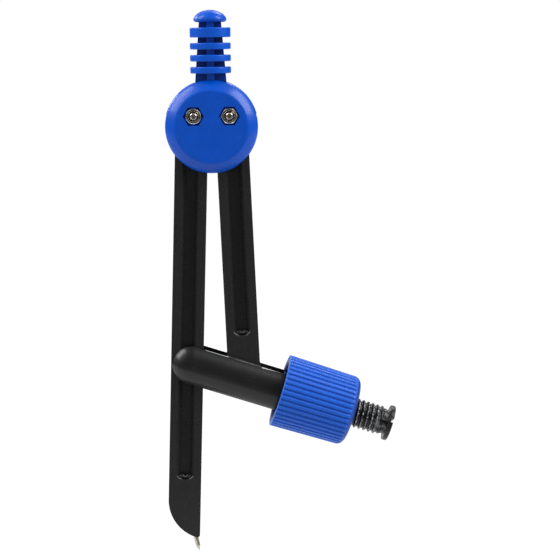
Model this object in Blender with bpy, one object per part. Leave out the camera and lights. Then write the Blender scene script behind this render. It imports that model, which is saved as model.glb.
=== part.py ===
"""Drawing compass: a ribbed handle and a round clamped head carry two geared legs.

The left leg ends in a steel needle. The right leg carries a slotted pencil holder, whose
knob runs on a screw and presses the pencil against the leg.

The frame stands upright, seen from the front along +Y. X runs to the right, Z up, and the
origin is the middle of the head's flat rear face. All lengths are in metres, angles in degrees.
"""

import math

import bmesh
import bpy
from mathutils import Matrix

# Head
COVER_PLATE = 0.0031
EDGE_ROUNDING_WIDTH = 0.0039
EDGE_ROUNDING_DEPTH = 0.0045
RIM_WALL = 0.0022
LEG_EYE_ROOM = 0.0005
FIT_GAP = 0.0003

# Legs
LEG_THICKNESS = 0.0074
LEG_WIDTH = 0.01075
LEGS_GAP = 0.00197
REST_ANGLE = 2.12
OPEN_ANGLE = 50.0
PIVOT_HALF_SPACING = 0.00588
PIVOT_HEIGHT = 0.00355
GROOVE_WIDTH = 0.0057
GROOVE_FLOOR_WIDTH = 0.0031
GROOVE_DEPTH = 0.0017
GROOVE_START = 0.00985
GROOVE_TO_TIP = 0.00655
GROOVE_TO_HOLDER = 0.0150
TIP_ARC_START = 0.1284
TIP_ARC_RADIUS = 0.0133
TIP_CORNER_RADIUS = 0.0009

# Gear sectors that join the legs
TEETH_PER_TURN = 16
TEETH_PER_SECTOR = 5
PRESSURE_ANGLE = 25.0
TOOTH_FLANK_GAP = 0.00022
ADDENDUM_SHARE = 0.9
DEDENDUM_SHARE = 1.25
NEEDLE_LEG_FIRST_TOOTH = -3.5
PENCIL_LEG_FIRST_TOOTH = -3.0
GEAR_HEADROOM = 0.00066

# Pivot bolts and nuts
BOLT_RADIUS = 0.00125
BOLT_HEAD_RADIUS = 0.00235
BOLT_HEAD_HEIGHT = 0.0015
BOLT_HEAD_CROWN = 0.0004
BOLT_END_ROUNDING = 0.0006
BOLT_END_PROUD = 0.0004
DRIVER_SLOT_WIDTH = 0.0007
DRIVER_SLOT_DEPTH = 0.0007
NUT_ACROSS_FLATS = 0.0050
NUT_THICKNESS = 0.0018
NUT_CHAMFER = 0.0003
NUT_POCKET_PLAY = 0.0010
LEFT_NUT_TURN = 30.0
RIGHT_NUT_TURN = 0.0

# Handle
DOME_RADIUS = 0.00545
DOME_HEIGHT = 0.0032
DOME_LIP = 0.0008
RING_RADIUS = 0.00672
RING_EDGE = 0.0004
FIRST_RING_RISE = 0.00408
LOWER_RING_HEIGHT = 0.00215
LOWER_RING_PITCH = 0.0039
LOWER_RING_COUNT = 3
TOP_RING_HEIGHT = 0.0032
TOP_RING_GAP = 0.00175
CORE_TOP_HALF_WIDTH = 0.0036
CORE_FOOT_HALF_WIDTH = 0.0052
CORE_WEB = 0.0026
CORE_RIB = 0.0025
TONGUE_HALF_WIDTH = 0.0049
TONGUE_WALL = 0.0002
PEG_RADIUS = 0.0013
PEG_SOCKET_DEPTH = 0.0014
PEG_ROOT_SHARE = 0.5

# Needle
NEEDLE_RADIUS = 0.0008
NEEDLE_LENGTH = 0.0170
NEEDLE_POINT_LENGTH = 0.0020
NEEDLE_PROUD = 0.00505
NEEDLE_TIP_INSET = 0.00005
NEEDLE_LEAN = 15.5
NEEDLE_GAP = 0.0002

# Pencil holder, placed on the pencil leg
HOLDER_DROP = 0.08835
HOLDER_TILT = 20.15
HOLDER_WALL = 0.00349
HOLDER_BALL_CENTRE = -0.0186
HOLDER_SLOT_END = 0.0205
HOLDER_END_WALL = 0.0050
KEYWAY_DEPTH = 0.0031
PENCIL_SEAT = 0.0042
LEG_FOOT_RECESS = 0.00065

# Threaded stud
THREAD_CREST_RADIUS = 0.00495
THREAD_DEPTH = 0.00065
THREAD_PITCH = 0.00165
THREAD_CREST_SHARE = 0.24
THREAD_BASE_SHARE = 0.74
THREAD_LENGTH = 0.0229
THREAD_LEAD_TURNS = 2
STUD_TAIL_RADIUS = 0.0030
STUD_NECK_UNDERCUT = 0.0002
STUD_NECK_LENGTH = 0.0011
FLANGE_THICKNESS = 0.0016
FLANGE_STEP = 0.00105
FLANGE_EDGE = 0.0003
STUD_SLOT_WIDTH = 0.0012
STUD_SLOT_DEPTH = 0.0009
STUD_SLOT_TURN = -20.0

# Clamp knob and its pressure ring
PENCIL_GAP = 0.00813
KNOB_LENGTH = 0.0255
KNOB_NUT_LENGTH = 0.0054
KNOB_WALL = 0.00305
KNOB_TAPER = 0.00045
KNOB_SHOULDER_ROUNDING = 0.0026
KNOB_SHOULDER_DROP = 0.0030
KNOB_RIB_COUNT = 42
KNOB_RIB_HEIGHT = 0.0004
RIB_CREST_SHARE = 0.45
RIB_VALLEY_SHARE = 0.25
KNOB_RIM_BAND = 0.0006
KNOB_CAVITY_GAP = 0.00171
KNOB_BEAD_DEPTH = 0.0006
KNOB_BEAD_WIDTH = 0.0012
RING_GROOVE_DEPTH = 0.0012
PRESSURE_RING_THICKNESS = 0.0015
PRESSURE_KEY_LEAD = 0.0003
PRESSURE_KEY_INSET = 0.00015
THREAD_RUNNING_GAP = 0.0003
KNOB_THREAD_CREST_WIDTH = 0.00034
KNOB_THREAD_BASE_WIDTH = 0.00078
KNOB_THREAD_ROOT_DEPTH = 0.0005
KNOB_THREAD_INSET = 0.0004

# Facets
ROUND_SIDES = 48
SMALL_SIDES = 24
ARC_STEPS = 8
FLANK_STEPS = 3
SHARP_EDGE_ANGLE = 35.0
OVERRUN = 0.001

# Legs and gears, from the sizes above
LEG_INNER = LEGS_GAP / 2 - PIVOT_HALF_SPACING
LEG_OFFSET = LEG_INNER + LEG_WIDTH / 2
LEG_OUTER = LEG_INNER + LEG_WIDTH
NEEDLE_LEG_GROOVE_END = TIP_ARC_START - GROOVE_TO_TIP
PENCIL_LEG_GROOVE_END = HOLDER_DROP - GROOVE_TO_HOLDER
PITCH_ANGLE = 2 * math.pi / TEETH_PER_TURN
GEAR_MODULE = 2 * PIVOT_HALF_SPACING / TEETH_PER_TURN
GEAR_TIP_RADIUS = PIVOT_HALF_SPACING + ADDENDUM_SHARE * GEAR_MODULE
GEAR_ROOT_RADIUS = PIVOT_HALF_SPACING - DEDENDUM_SHARE * GEAR_MODULE
NEEDLE_REACH = TIP_ARC_START + TIP_ARC_RADIUS + NEEDLE_PROUD
NEEDLE_SIDE = LEG_INNER + NEEDLE_TIP_INSET

# Head and handle, from the sizes above
SLOT_WIDTH = LEG_THICKNESS + 2 * FIT_GAP
HEAD_DEPTH = 2 * COVER_PLATE + SLOT_WIDTH
MIDDLE_Y = -HEAD_DEPTH / 2
EYE_REACH = math.hypot(PIVOT_HALF_SPACING, PIVOT_HEIGHT) + LEG_OUTER
HEAD_RADIUS = EYE_REACH + LEG_EYE_ROOM + RIM_WALL
HEAD_FLAT_RADIUS = HEAD_RADIUS - EDGE_ROUNDING_WIDTH
TONGUE_FOOT = PIVOT_HEIGHT + max(GEAR_TIP_RADIUS, LEG_OUTER) + GEAR_HEADROOM
PEG_HEIGHT = TONGUE_FOOT + TONGUE_WALL + FIT_GAP + PEG_RADIUS
TONGUE_TOP = PEG_HEIGHT + PEG_RADIUS + FIT_GAP + TONGUE_WALL
LOWER_RING_TOP = HEAD_RADIUS + FIRST_RING_RISE
TOP_RING_BASE = LOWER_RING_TOP + (LOWER_RING_COUNT - 1) * LOWER_RING_PITCH + TOP_RING_GAP
DOME_BASE = TOP_RING_BASE + TOP_RING_HEIGHT + TOP_RING_GAP
DOME_WIDEST = DOME_BASE + DOME_LIP
BOLT_HOLE_RADIUS = BOLT_RADIUS + FIT_GAP
NUT_SEAT_Y = -HEAD_DEPTH + NUT_THICKNESS + FIT_GAP
NUT_POCKET_ACROSS_FLATS = NUT_ACROSS_FLATS + NUT_POCKET_PLAY

# Holder, stud, knob and ring, from the sizes above
HOLDER_RADIUS = SLOT_WIDTH / 2 + HOLDER_WALL
HOLDER_LAND = math.sqrt(HOLDER_RADIUS ** 2 - (SLOT_WIDTH / 2) ** 2)
HOLDER_END = HOLDER_SLOT_END + HOLDER_END_WALL
KEYWAY_INNER = HOLDER_RADIUS - KEYWAY_DEPTH
LEG_FOOT_DROP = HOLDER_LAND - LEG_FOOT_RECESS
THREAD_ROOT_RADIUS = THREAD_CREST_RADIUS - THREAD_DEPTH
THREAD_START = HOLDER_END + FIT_GAP
THREAD_END = THREAD_START + THREAD_LENGTH
STUD_NECK_RADIUS = THREAD_ROOT_RADIUS - STUD_NECK_UNDERCUT
FLANGE_START = THREAD_END + STUD_NECK_LENGTH
FLANGE_RADIUS = THREAD_CREST_RADIUS + FLANGE_STEP
KNOB_RIM = PENCIL_SEAT + PENCIL_GAP
KNOB_END = KNOB_RIM + KNOB_LENGTH
KNOB_FLOOR = KNOB_END - KNOB_NUT_LENGTH
KNOB_CAVITY_RADIUS = HOLDER_RADIUS + KNOB_CAVITY_GAP
KNOB_BEAD_RADIUS = KNOB_CAVITY_RADIUS + KNOB_BEAD_DEPTH
RING_GROOVE_RADIUS = KNOB_CAVITY_RADIUS + RING_GROOVE_DEPTH
KNOB_RIM_RADIUS = KNOB_CAVITY_RADIUS + KNOB_WALL
KNOB_SHOULDER_RADIUS = KNOB_RIM_RADIUS - KNOB_TAPER
KNOB_FACE_RADIUS = KNOB_SHOULDER_RADIUS - KNOB_SHOULDER_DROP

BLUE_HEAD = ("head_blue", (0.004, 0.075, 0.52), 0.32, 0.0)
BLUE_KNOB = ("knob_blue", (0.020, 0.110, 0.55), 0.42, 0.0)
BLACK_PLASTIC = ("leg_black", (0.014, 0.014, 0.015), 0.42, 0.0)
BLACK_STUD = ("stud_black", (0.012, 0.012, 0.013), 0.35, 0.0)
PLATED_STEEL = ("plated_steel", (0.62, 0.58, 0.50), 0.25, 1.0)
NEEDLE_STEEL = ("needle_steel", (0.60, 0.58, 0.54), 0.28, 1.0)


def clear_scene():
    """Remove whatever the scene holds."""
    for item in list(bpy.data.objects):
        bpy.data.objects.remove(item, do_unlink=True)


def material(finish):
    """One Principled material for each finish."""
    name, colour, roughness, metallic = finish
    found = bpy.data.materials.get(name)
    if found:
        return found
    made = bpy.data.materials.new(name)
    made.use_nodes = True
    shader = made.node_tree.nodes["Principled BSDF"]
    shader.inputs["Base Color"].default_value = (*colour, 1.0)
    shader.inputs["Roughness"].default_value = roughness
    shader.inputs["Metallic"].default_value = metallic
    made.diffuse_color = (*colour, 1.0)
    return made


def solid(shape):
    """Turn a bmesh into an object, with its faces pointing out."""
    bmesh.ops.recalc_face_normals(shape, faces=shape.faces)
    mesh = bpy.data.meshes.new("shape")
    shape.to_mesh(mesh)
    shape.free()
    made = bpy.data.objects.new("shape", mesh)
    bpy.context.scene.collection.objects.link(made)
    return made


def combine(base, tools, operation):
    """Boolean each tool into the base, and leave only the base."""
    for tool in tools:
        step = base.modifiers.new(operation.lower(), "BOOLEAN")
        step.operation = operation
        step.solver = "EXACT"
        step.object = tool
        graph = bpy.context.evaluated_depsgraph_get()
        result = bpy.data.meshes.new_from_object(base.evaluated_get(graph))
        base.modifiers.clear()
        base.data = result
        bpy.data.objects.remove(tool, do_unlink=True)
    return base


def union(base, *tools):
    return combine(base, tools, "UNION")


def difference(base, *tools):
    return combine(base, tools, "DIFFERENCE")


def intersection(base, *tools):
    return combine(base, tools, "INTERSECT")


def moved(item, x=0.0, y=0.0, z=0.0, turn_y=0.0):
    """Turn a shape about its Y axis, then shift it, in its own mesh."""
    item.data.transform(Matrix.Translation((x, y, z)) @ Matrix.Rotation(turn_y, 4, "Y"))
    return item


def polar(radius, angle):
    """A point of the XZ plane; the angle runs from +X towards +Z."""
    return (radius * math.cos(angle), radius * math.sin(angle))


def arc(centre, radius, start, end, steps):
    """Points along an arc of the XZ plane, both ends included."""
    points = []
    for step in range(steps + 1):
        x, z = polar(radius, start + (end - start) * step / steps)
        points.append((centre[0] + x, centre[1] + z))
    return points


def prism(outline, near, far, far_outline=None):
    """Solid between two outlines of the XZ plane, at y = near and y = far."""
    shape = bmesh.new()
    front = [shape.verts.new((x, near, z)) for x, z in outline]
    back = [shape.verts.new((x, far, z)) for x, z in far_outline or outline]
    shape.faces.new(front)
    shape.faces.new(back)
    count = len(front)
    for index in range(count):
        after = (index + 1) % count
        shape.faces.new((front[index], front[after], back[after], back[index]))
    return solid(shape)


def block(low, high):
    """Box between two corners."""
    outline = [(low[0], low[2]), (high[0], low[2]), (high[0], high[2]), (low[0], high[2])]
    return prism(outline, low[1], high[1])


TURN_TO = {
    "X": Matrix.Rotation(math.pi / 2, 4, "Y"),
    "Y": Matrix.Rotation(-math.pi / 2, 4, "X"),
    "Z": Matrix.Identity(4),
}


def turned(stations, sides, axis, thread_after=None, thread=None):
    """Solid of revolution through stations of (place, radius) along an axis.

    Where thread_after names a station, a helical thread fills the stretch from that station
    to the next, and thread holds its (crest radius, crest share, base share, pitch).
    """
    shape = bmesh.new()
    known = {}

    def vertex(place, radius, side):
        if radius <= 0:
            side = 0
        key = (round(place, 8), round(radius, 8), side)
        if key not in known:
            angle = 2 * math.pi * side / sides
            point = (radius * math.cos(angle), radius * math.sin(angle), place)
            known[key] = shape.verts.new(point)
        return known[key]

    def face(corners):
        ring = []
        for corner in corners:
            if corner not in ring:
                ring.append(corner)
        if len(ring) > 2:
            shape.faces.new(ring)

    def plain(first, second):
        for side in range(sides):
            after = (side + 1) % sides
            face((vertex(*first, side), vertex(*first, after),
                  vertex(*second, after), vertex(*second, side)))

    def threaded(first, second):
        start, root = first
        end = second[0]
        crest, crest_share, base_share, pitch = thread
        marks = ((0.5 - base_share / 2, 0), (0.5 - crest_share / 2, 1),
                 (0.5 + crest_share / 2, 1), (0.5 + base_share / 2, 0))

        def point(row, side):
            turn, mark = divmod(row, len(marks))
            share, level = marks[mark]
            place = start + pitch * (turn + share + side / sides - THREAD_LEAD_TURNS)
            place = min(max(place, start), end)
            fade = min(1.0, (place - start) / pitch, (end - place) / pitch)
            return vertex(place, root + (crest - root) * level * fade, side % sides)

        rows = len(marks) * (math.ceil((end - start) / pitch) + THREAD_LEAD_TURNS + 1)
        for row in range(rows):
            for side in range(sides):
                wrap = len(marks) if side + 1 == sides else 0
                shift = side + 1 - (sides if wrap else 0)
                face((point(row, side), point(row + wrap, shift),
                      point(row + 1 + wrap, shift), point(row + 1, side)))

    for index in range(len(stations) - 1):
        fill = threaded if index == thread_after else plain
        fill(stations[index], stations[index + 1])
    for place, radius in (stations[0], stations[-1]):
        if radius > 0:
            shape.faces.new([vertex(place, radius, side) for side in range(sides)])
    shape.transform(TURN_TO[axis])
    return solid(shape)


def hexagon(across_flats, first_angle):
    """Corners of a regular hexagon in the XZ plane."""
    radius = across_flats / math.sqrt(3)
    return [polar(radius, first_angle + math.pi / 3 * corner) for corner in range(6)]


def finish(item, name, look, parent=None, place=(0.0, 0.0, 0.0), turn_y=0.0):
    """Name a finished solid, give it its material and put it in its place."""
    mesh = item.data
    mesh.name = name
    item.name = name
    mesh.materials.clear()
    mesh.materials.append(material(look))
    mesh.shade_smooth()
    mesh.set_sharp_from_angle(angle=math.radians(SHARP_EDGE_ANGLE))
    item.parent = parent
    item.location = place
    item.rotation_euler = (0.0, turn_y, 0.0)
    return item


def pivot_places():
    """The two pivots, left and right, as (side, x)."""
    return (("left", -PIVOT_HALF_SPACING), ("right", PIVOT_HALF_SPACING))


def head_opening():
    """Outline of the free space between the covers: the legs' swing and the gears."""
    open_turn = math.radians(OPEN_ANGLE)
    normal = polar(LEG_OUTER + FIT_GAP, open_turn)
    along = polar(1.0, open_turn - math.pi / 2)
    near = (PIVOT_HALF_SPACING + normal[0], PIVOT_HEIGHT + normal[1])
    inner = HEAD_RADIUS - RIM_WALL
    middle = near[0] * along[0] + near[1] * along[1]
    reach = -middle + math.sqrt(middle ** 2 + inner ** 2 - near[0] ** 2 - near[1] ** 2)
    wall_foot = (near[0] + reach * along[0], near[1] + reach * along[1])
    far = reach + HEAD_RADIUS
    outside = (near[0] + far * along[0], near[1] + far * along[1])
    angle = math.atan2(wall_foot[1], wall_foot[0])
    below = -HEAD_RADIUS - OVERRUN
    outline = arc((0.0, 0.0), inner, angle, math.pi - angle, 2 * ARC_STEPS)
    outline.append((-outside[0], outside[1]))
    outline.append((-outside[0], below))
    outline.append((outside[0], below))
    outline.append(outside)
    return outline


def cover_shell(face_y, parting_y):
    """Half of the head: a dished disc that is flat outside and rounded at its edge."""
    inward = 1.0 if parting_y > face_y else -1.0
    stations = [(face_y, HEAD_FLAT_RADIUS)]
    for step in range(1, ARC_STEPS + 1):
        turn = math.pi / 2 * step / ARC_STEPS
        depth = EDGE_ROUNDING_DEPTH * (1 - math.cos(turn))
        radius = HEAD_FLAT_RADIUS + EDGE_ROUNDING_WIDTH * math.sin(turn)
        stations.append((face_y + inward * depth, radius))
    stations.append((parting_y, HEAD_RADIUS))
    shell = turned(stations, ROUND_SIDES, "Y")
    plate_y = face_y + inward * COVER_PLATE
    opening = prism(head_opening(), plate_y, parting_y + inward * OVERRUN)
    neck = CORE_FOOT_HALF_WIDTH + FIT_GAP
    notch = block((-neck, min(plate_y, parting_y + inward * OVERRUN), TONGUE_FOOT - FIT_GAP),
                  (neck, max(plate_y, parting_y + inward * OVERRUN), HEAD_RADIUS + OVERRUN))
    return difference(shell, opening, notch)


def bolt_hole(x, radius, near, far):
    return moved(turned([(near, radius), (far, radius)], SMALL_SIDES, "Y"), x, 0.0, PIVOT_HEIGHT)


def front_cover():
    """Front half of the head, with a hexagon pocket for each nut and a socket for the peg."""
    face_y = -HEAD_DEPTH
    cover = cover_shell(face_y, MIDDLE_Y - FIT_GAP / 2)
    for _, x in pivot_places():
        pocket = prism(hexagon(NUT_POCKET_ACROSS_FLATS, 0.0), face_y - OVERRUN,
                       NUT_SEAT_Y + FIT_GAP)
        moved(pocket, x, 0.0, PIVOT_HEIGHT)
        hole = bolt_hole(x, BOLT_HOLE_RADIUS, face_y - OVERRUN, MIDDLE_Y)
        difference(cover, pocket, hole)
    inside = face_y + COVER_PLATE
    radius = PEG_RADIUS + FIT_GAP
    socket = turned([(inside - PEG_SOCKET_DEPTH, radius), (inside + OVERRUN, radius)],
                    SMALL_SIDES, "Y")
    difference(cover, moved(socket, 0.0, 0.0, PEG_HEIGHT))
    return finish(cover, "front_cover", BLUE_HEAD)


def rear_cover():
    """Rear half of the head, with a round seat for each bolt head and the handle's peg."""
    cover = cover_shell(0.0, MIDDLE_Y + FIT_GAP / 2)
    seat_y = -BOLT_HEAD_HEIGHT - FIT_GAP
    for _, x in pivot_places():
        seat = bolt_hole(x, BOLT_HEAD_RADIUS + FIT_GAP, seat_y, OVERRUN)
        hole = bolt_hole(x, BOLT_HOLE_RADIUS, MIDDLE_Y, OVERRUN)
        difference(cover, seat, hole)
    peg_end = -HEAD_DEPTH + COVER_PLATE - PEG_SOCKET_DEPTH + FIT_GAP
    root = -COVER_PLATE * PEG_ROOT_SHARE
    peg = turned([(peg_end, PEG_RADIUS), (root, PEG_RADIUS)], SMALL_SIDES, "Y")
    union(cover, moved(peg, 0.0, 0.0, PEG_HEIGHT))
    return finish(cover, "rear_cover", BLUE_HEAD)


def handle_disc(low, high, radius):
    """One grip ring with softened edges."""
    stations = [(low, radius - RING_EDGE), (low + RING_EDGE, radius),
                (high - RING_EDGE, radius), (high, radius - RING_EDGE)]
    return turned(stations, ROUND_SIDES, "Z")


def handle_dome():
    """Mushroom cap at the handle's top."""
    stations = [(DOME_BASE, DOME_RADIUS - DOME_LIP), (DOME_WIDEST, DOME_RADIUS)]
    for step in range(1, ARC_STEPS + 1):
        turn = math.pi / 2 * step / ARC_STEPS
        radius = DOME_RADIUS * math.cos(turn) if step < ARC_STEPS else 0.0
        stations.append((DOME_WIDEST + DOME_HEIGHT * math.sin(turn), radius))
    return turned(stations, ROUND_SIDES, "Z")


def handle():
    """Grip: a cross-shaped core, a domed cap, four rings and a tongue held in the head."""
    top = DOME_WIDEST
    foot = PEG_HEIGHT + PEG_RADIUS
    wings = [(-CORE_FOOT_HALF_WIDTH, foot), (CORE_FOOT_HALF_WIDTH, foot),
             (CORE_TOP_HALF_WIDTH, top), (-CORE_TOP_HALF_WIDTH, top)]
    grip = prism(wings, -CORE_WEB / 2, CORE_WEB / 2)
    depth = LEG_THICKNESS / 2
    rib = block((-CORE_RIB / 2, -depth + FIT_GAP, foot), (CORE_RIB / 2, depth - FIT_GAP, top))
    tongue = block((-TONGUE_HALF_WIDTH, -depth, TONGUE_FOOT), (TONGUE_HALF_WIDTH, depth, TONGUE_TOP))
    union(grip, rib, tongue, handle_dome())
    union(grip, handle_disc(TOP_RING_BASE, TOP_RING_BASE + TOP_RING_HEIGHT, RING_RADIUS))
    for index in range(LOWER_RING_COUNT):
        high = LOWER_RING_TOP + index * LOWER_RING_PITCH
        union(grip, handle_disc(high - LOWER_RING_HEIGHT, high, RING_RADIUS))
    radius = PEG_RADIUS + FIT_GAP
    hole = turned([(-depth - OVERRUN, radius), (depth + OVERRUN, radius)], SMALL_SIDES, "Y")
    difference(grip, moved(hole, 0.0, 0.0, PEG_HEIGHT))
    return finish(grip, "handle", BLUE_HEAD, place=(0.0, MIDDLE_Y, 0.0))


def tooth(centre):
    """Outline of one gear tooth, from its upper root to its lower root."""
    base = PIVOT_HALF_SPACING * math.cos(math.radians(PRESSURE_ANGLE))

    def involute(radius):
        pressure = math.acos(min(1.0, base / radius))
        return math.tan(pressure) - pressure

    half_pitch = PITCH_ANGLE / 4 - TOOTH_FLANK_GAP / 2 / PIVOT_HALF_SPACING
    reach = half_pitch + involute(PIVOT_HALF_SPACING)
    flank = [(GEAR_ROOT_RADIUS, reach)]
    for step in range(FLANK_STEPS + 1):
        radius = base + (GEAR_TIP_RADIUS - base) * step / FLANK_STEPS
        flank.append((radius, reach - involute(radius)))
    upper = [polar(radius, centre - half) for radius, half in flank]
    lower = [polar(radius, centre + half) for radius, half in reversed(flank)]
    return upper + lower


def leg_eye(first_tooth):
    """Top of a leg, from the outer edge round to the inner edge.

    The tooth centres stand first_tooth pitches from the line between the pivots, when the
    legs are parallel.
    """
    start = math.pi + first_tooth * PITCH_ANGLE
    outline = arc((0.0, 0.0), LEG_OUTER, 0.0, start - PITCH_ANGLE * 3 / 4, ARC_STEPS)
    for index in range(TEETH_PER_SECTOR):
        outline += tooth(start + index * PITCH_ANGLE)
    while outline[-1][0] > LEG_INNER:
        inside = outline.pop()
    outside = outline[-1]
    share = (outside[0] - LEG_INNER) / (outside[0] - inside[0])
    outline.append((LEG_INNER, outside[1] + share * (inside[1] - outside[1])))
    return outline


def leg_groove(end, side):
    """Trough with a rounded end, from under the head down to end, on one face of a leg."""
    wide, narrow = GROOVE_WIDTH / 2, GROOVE_FLOOR_WIDTH / 2
    bulge = wide - narrow

    def stadium(radius):
        upper = (LEG_OFFSET, -GROOVE_START - wide)
        lower = (LEG_OFFSET, -end + wide)
        return (arc(upper, radius, 0.0, math.pi, ARC_STEPS)
                + arc(lower, radius, math.pi, 2 * math.pi, ARC_STEPS))

    depth = LEG_THICKNESS / 2
    slope = bulge * OVERRUN / GROOVE_DEPTH
    return prism(stadium(narrow), side * (depth - GROOVE_DEPTH),
                 side * (depth + OVERRUN), stadium(wide + slope))


def leg_body(outline, groove_end):
    """A leg: its outline as a plate, bored for its bolt and grooved on both faces."""
    depth = LEG_THICKNESS / 2
    body = prism(outline, -depth, depth)
    hole = turned([(-depth - OVERRUN, BOLT_HOLE_RADIUS), (depth + OVERRUN, BOLT_HOLE_RADIUS)],
                  SMALL_SIDES, "Y")
    return difference(body, hole, leg_groove(groove_end, 1), leg_groove(groove_end, -1))


def mirrored(item):
    """Swap left and right in a shape's own mesh."""
    shape = bmesh.new()
    shape.from_mesh(item.data)
    shape.transform(Matrix.Scale(-1.0, 4, (1.0, 0.0, 0.0)))
    bmesh.ops.reverse_faces(shape, faces=shape.faces)
    shape.to_mesh(item.data)
    shape.free()
    return item


def place_needle(item):
    """Put a shape on the needle's axis, in the leg's frame; its own origin goes to the tip."""
    lean = math.radians(NEEDLE_LEAN)
    return moved(item, NEEDLE_SIDE, 0.0, -NEEDLE_REACH, math.pi + lean)


def needle_leg():
    """Left leg: it ends in a slanting arc that carries the needle."""
    arc_centre = (LEG_OUTER - TIP_ARC_RADIUS, -TIP_ARC_START)
    corner = LEG_INNER + TIP_CORNER_RADIUS
    inward = TIP_ARC_RADIUS - TIP_CORNER_RADIUS
    across = corner - arc_centre[0]
    corner_centre = (corner, arc_centre[1] - math.sqrt(inward ** 2 - across ** 2))
    meet = math.atan2(corner_centre[1] - arc_centre[1], across)
    outline = leg_eye(NEEDLE_LEG_FIRST_TOOTH)
    outline += arc(corner_centre, TIP_CORNER_RADIUS, -math.pi, meet, ARC_STEPS // 2)
    outline += arc(arc_centre, TIP_ARC_RADIUS, meet, 0.0, 2 * ARC_STEPS)[1:]
    body = leg_body(outline, NEEDLE_LEG_GROOVE_END)
    bore_radius = NEEDLE_RADIUS + NEEDLE_GAP
    bore = turned([(-NEEDLE_LENGTH - NEEDLE_GAP, bore_radius), (OVERRUN, bore_radius)],
                  SMALL_SIDES, "Z")
    difference(body, place_needle(bore))
    mirrored(body)
    return finish(body, "needle_leg", BLACK_PLASTIC,
                  place=(-PIVOT_HALF_SPACING, MIDDLE_Y, PIVOT_HEIGHT),
                  turn_y=math.radians(REST_ANGLE))


def needle_point(leg):
    """Steel pin with a short conical point, set at a slant in the needle leg."""
    stations = [(-NEEDLE_LENGTH, NEEDLE_RADIUS), (-NEEDLE_POINT_LENGTH, NEEDLE_RADIUS),
                (0.0, 0.0)]
    pin = place_needle(turned(stations, SMALL_SIDES, "Z"))
    return finish(mirrored(pin), "needle_point", NEEDLE_STEEL, parent=leg)


def on_leg(u, v):
    """A point given along and across the holder, in the pencil leg's own frame."""
    tilt = math.radians(HOLDER_TILT)
    return (LEG_OFFSET + u * math.cos(tilt) + v * math.sin(tilt),
            -HOLDER_DROP - u * math.sin(tilt) + v * math.cos(tilt))


def edge_crossing(leg_edge, v=None, u=None):
    """Where a straight edge of the pencil leg meets a line of the holder."""
    tilt = math.radians(HOLDER_TILT)
    if u is None:
        u = (leg_edge - LEG_OFFSET - v * math.sin(tilt)) / math.cos(tilt)
    else:
        v = (leg_edge - LEG_OFFSET - u * math.cos(tilt)) / math.sin(tilt)
    return on_leg(u, v)


def pencil_leg():
    """Right leg: its foot fills the holder's slot and makes the pencil's seat."""
    outline = leg_eye(PENCIL_LEG_FIRST_TOOTH)
    outline.append(edge_crossing(LEG_INNER, v=-LEG_FOOT_DROP))
    outline.append(on_leg(PENCIL_SEAT, -LEG_FOOT_DROP))
    outline.append(edge_crossing(LEG_OUTER, u=PENCIL_SEAT))
    body = leg_body(outline, PENCIL_LEG_GROOVE_END)
    return finish(body, "pencil_leg", BLACK_PLASTIC,
                  place=(PIVOT_HALF_SPACING, MIDDLE_Y, PIVOT_HEIGHT),
                  turn_y=-math.radians(REST_ANGLE))


def holder_frame(item, name, look, leg):
    """Place a piece whose X axis is the holder's axis on the pencil leg."""
    return finish(item, name, look, parent=leg, place=(LEG_OFFSET, 0.0, -HOLDER_DROP),
                  turn_y=math.radians(HOLDER_TILT))


def pencil_holder(leg):
    """Round bar with a ball end, slotted right through for the pencil and the other leg."""
    stations = []
    for step in range(ARC_STEPS + 1):
        turn = math.pi / 2 * step / ARC_STEPS
        radius = HOLDER_RADIUS * math.sin(turn) if step else 0.0
        stations.append((HOLDER_BALL_CENTRE - HOLDER_RADIUS * math.cos(turn), radius))
    stations.append((HOLDER_END, HOLDER_RADIUS))
    bar = turned(stations, ROUND_SIDES, "X")
    half, over = SLOT_WIDTH / 2, HOLDER_RADIUS + OVERRUN
    slot = block((HOLDER_BALL_CENTRE - over, -half, -over), (HOLDER_SLOT_END, half, over))
    upper_key = block((PENCIL_SEAT, -half, KEYWAY_INNER), (HOLDER_END + OVERRUN, half, over))
    lower_key = block((PENCIL_SEAT, -half, -over), (HOLDER_END + OVERRUN, half, -KEYWAY_INNER))
    bore_radius = STUD_TAIL_RADIUS + FIT_GAP
    bore = turned([(HOLDER_SLOT_END - OVERRUN, bore_radius), (HOLDER_END + OVERRUN, bore_radius)],
                  SMALL_SIDES, "X")
    difference(bar, slot, upper_key, lower_key, bore)
    return holder_frame(bar, "pencil_holder", BLACK_PLASTIC, leg)


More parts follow.
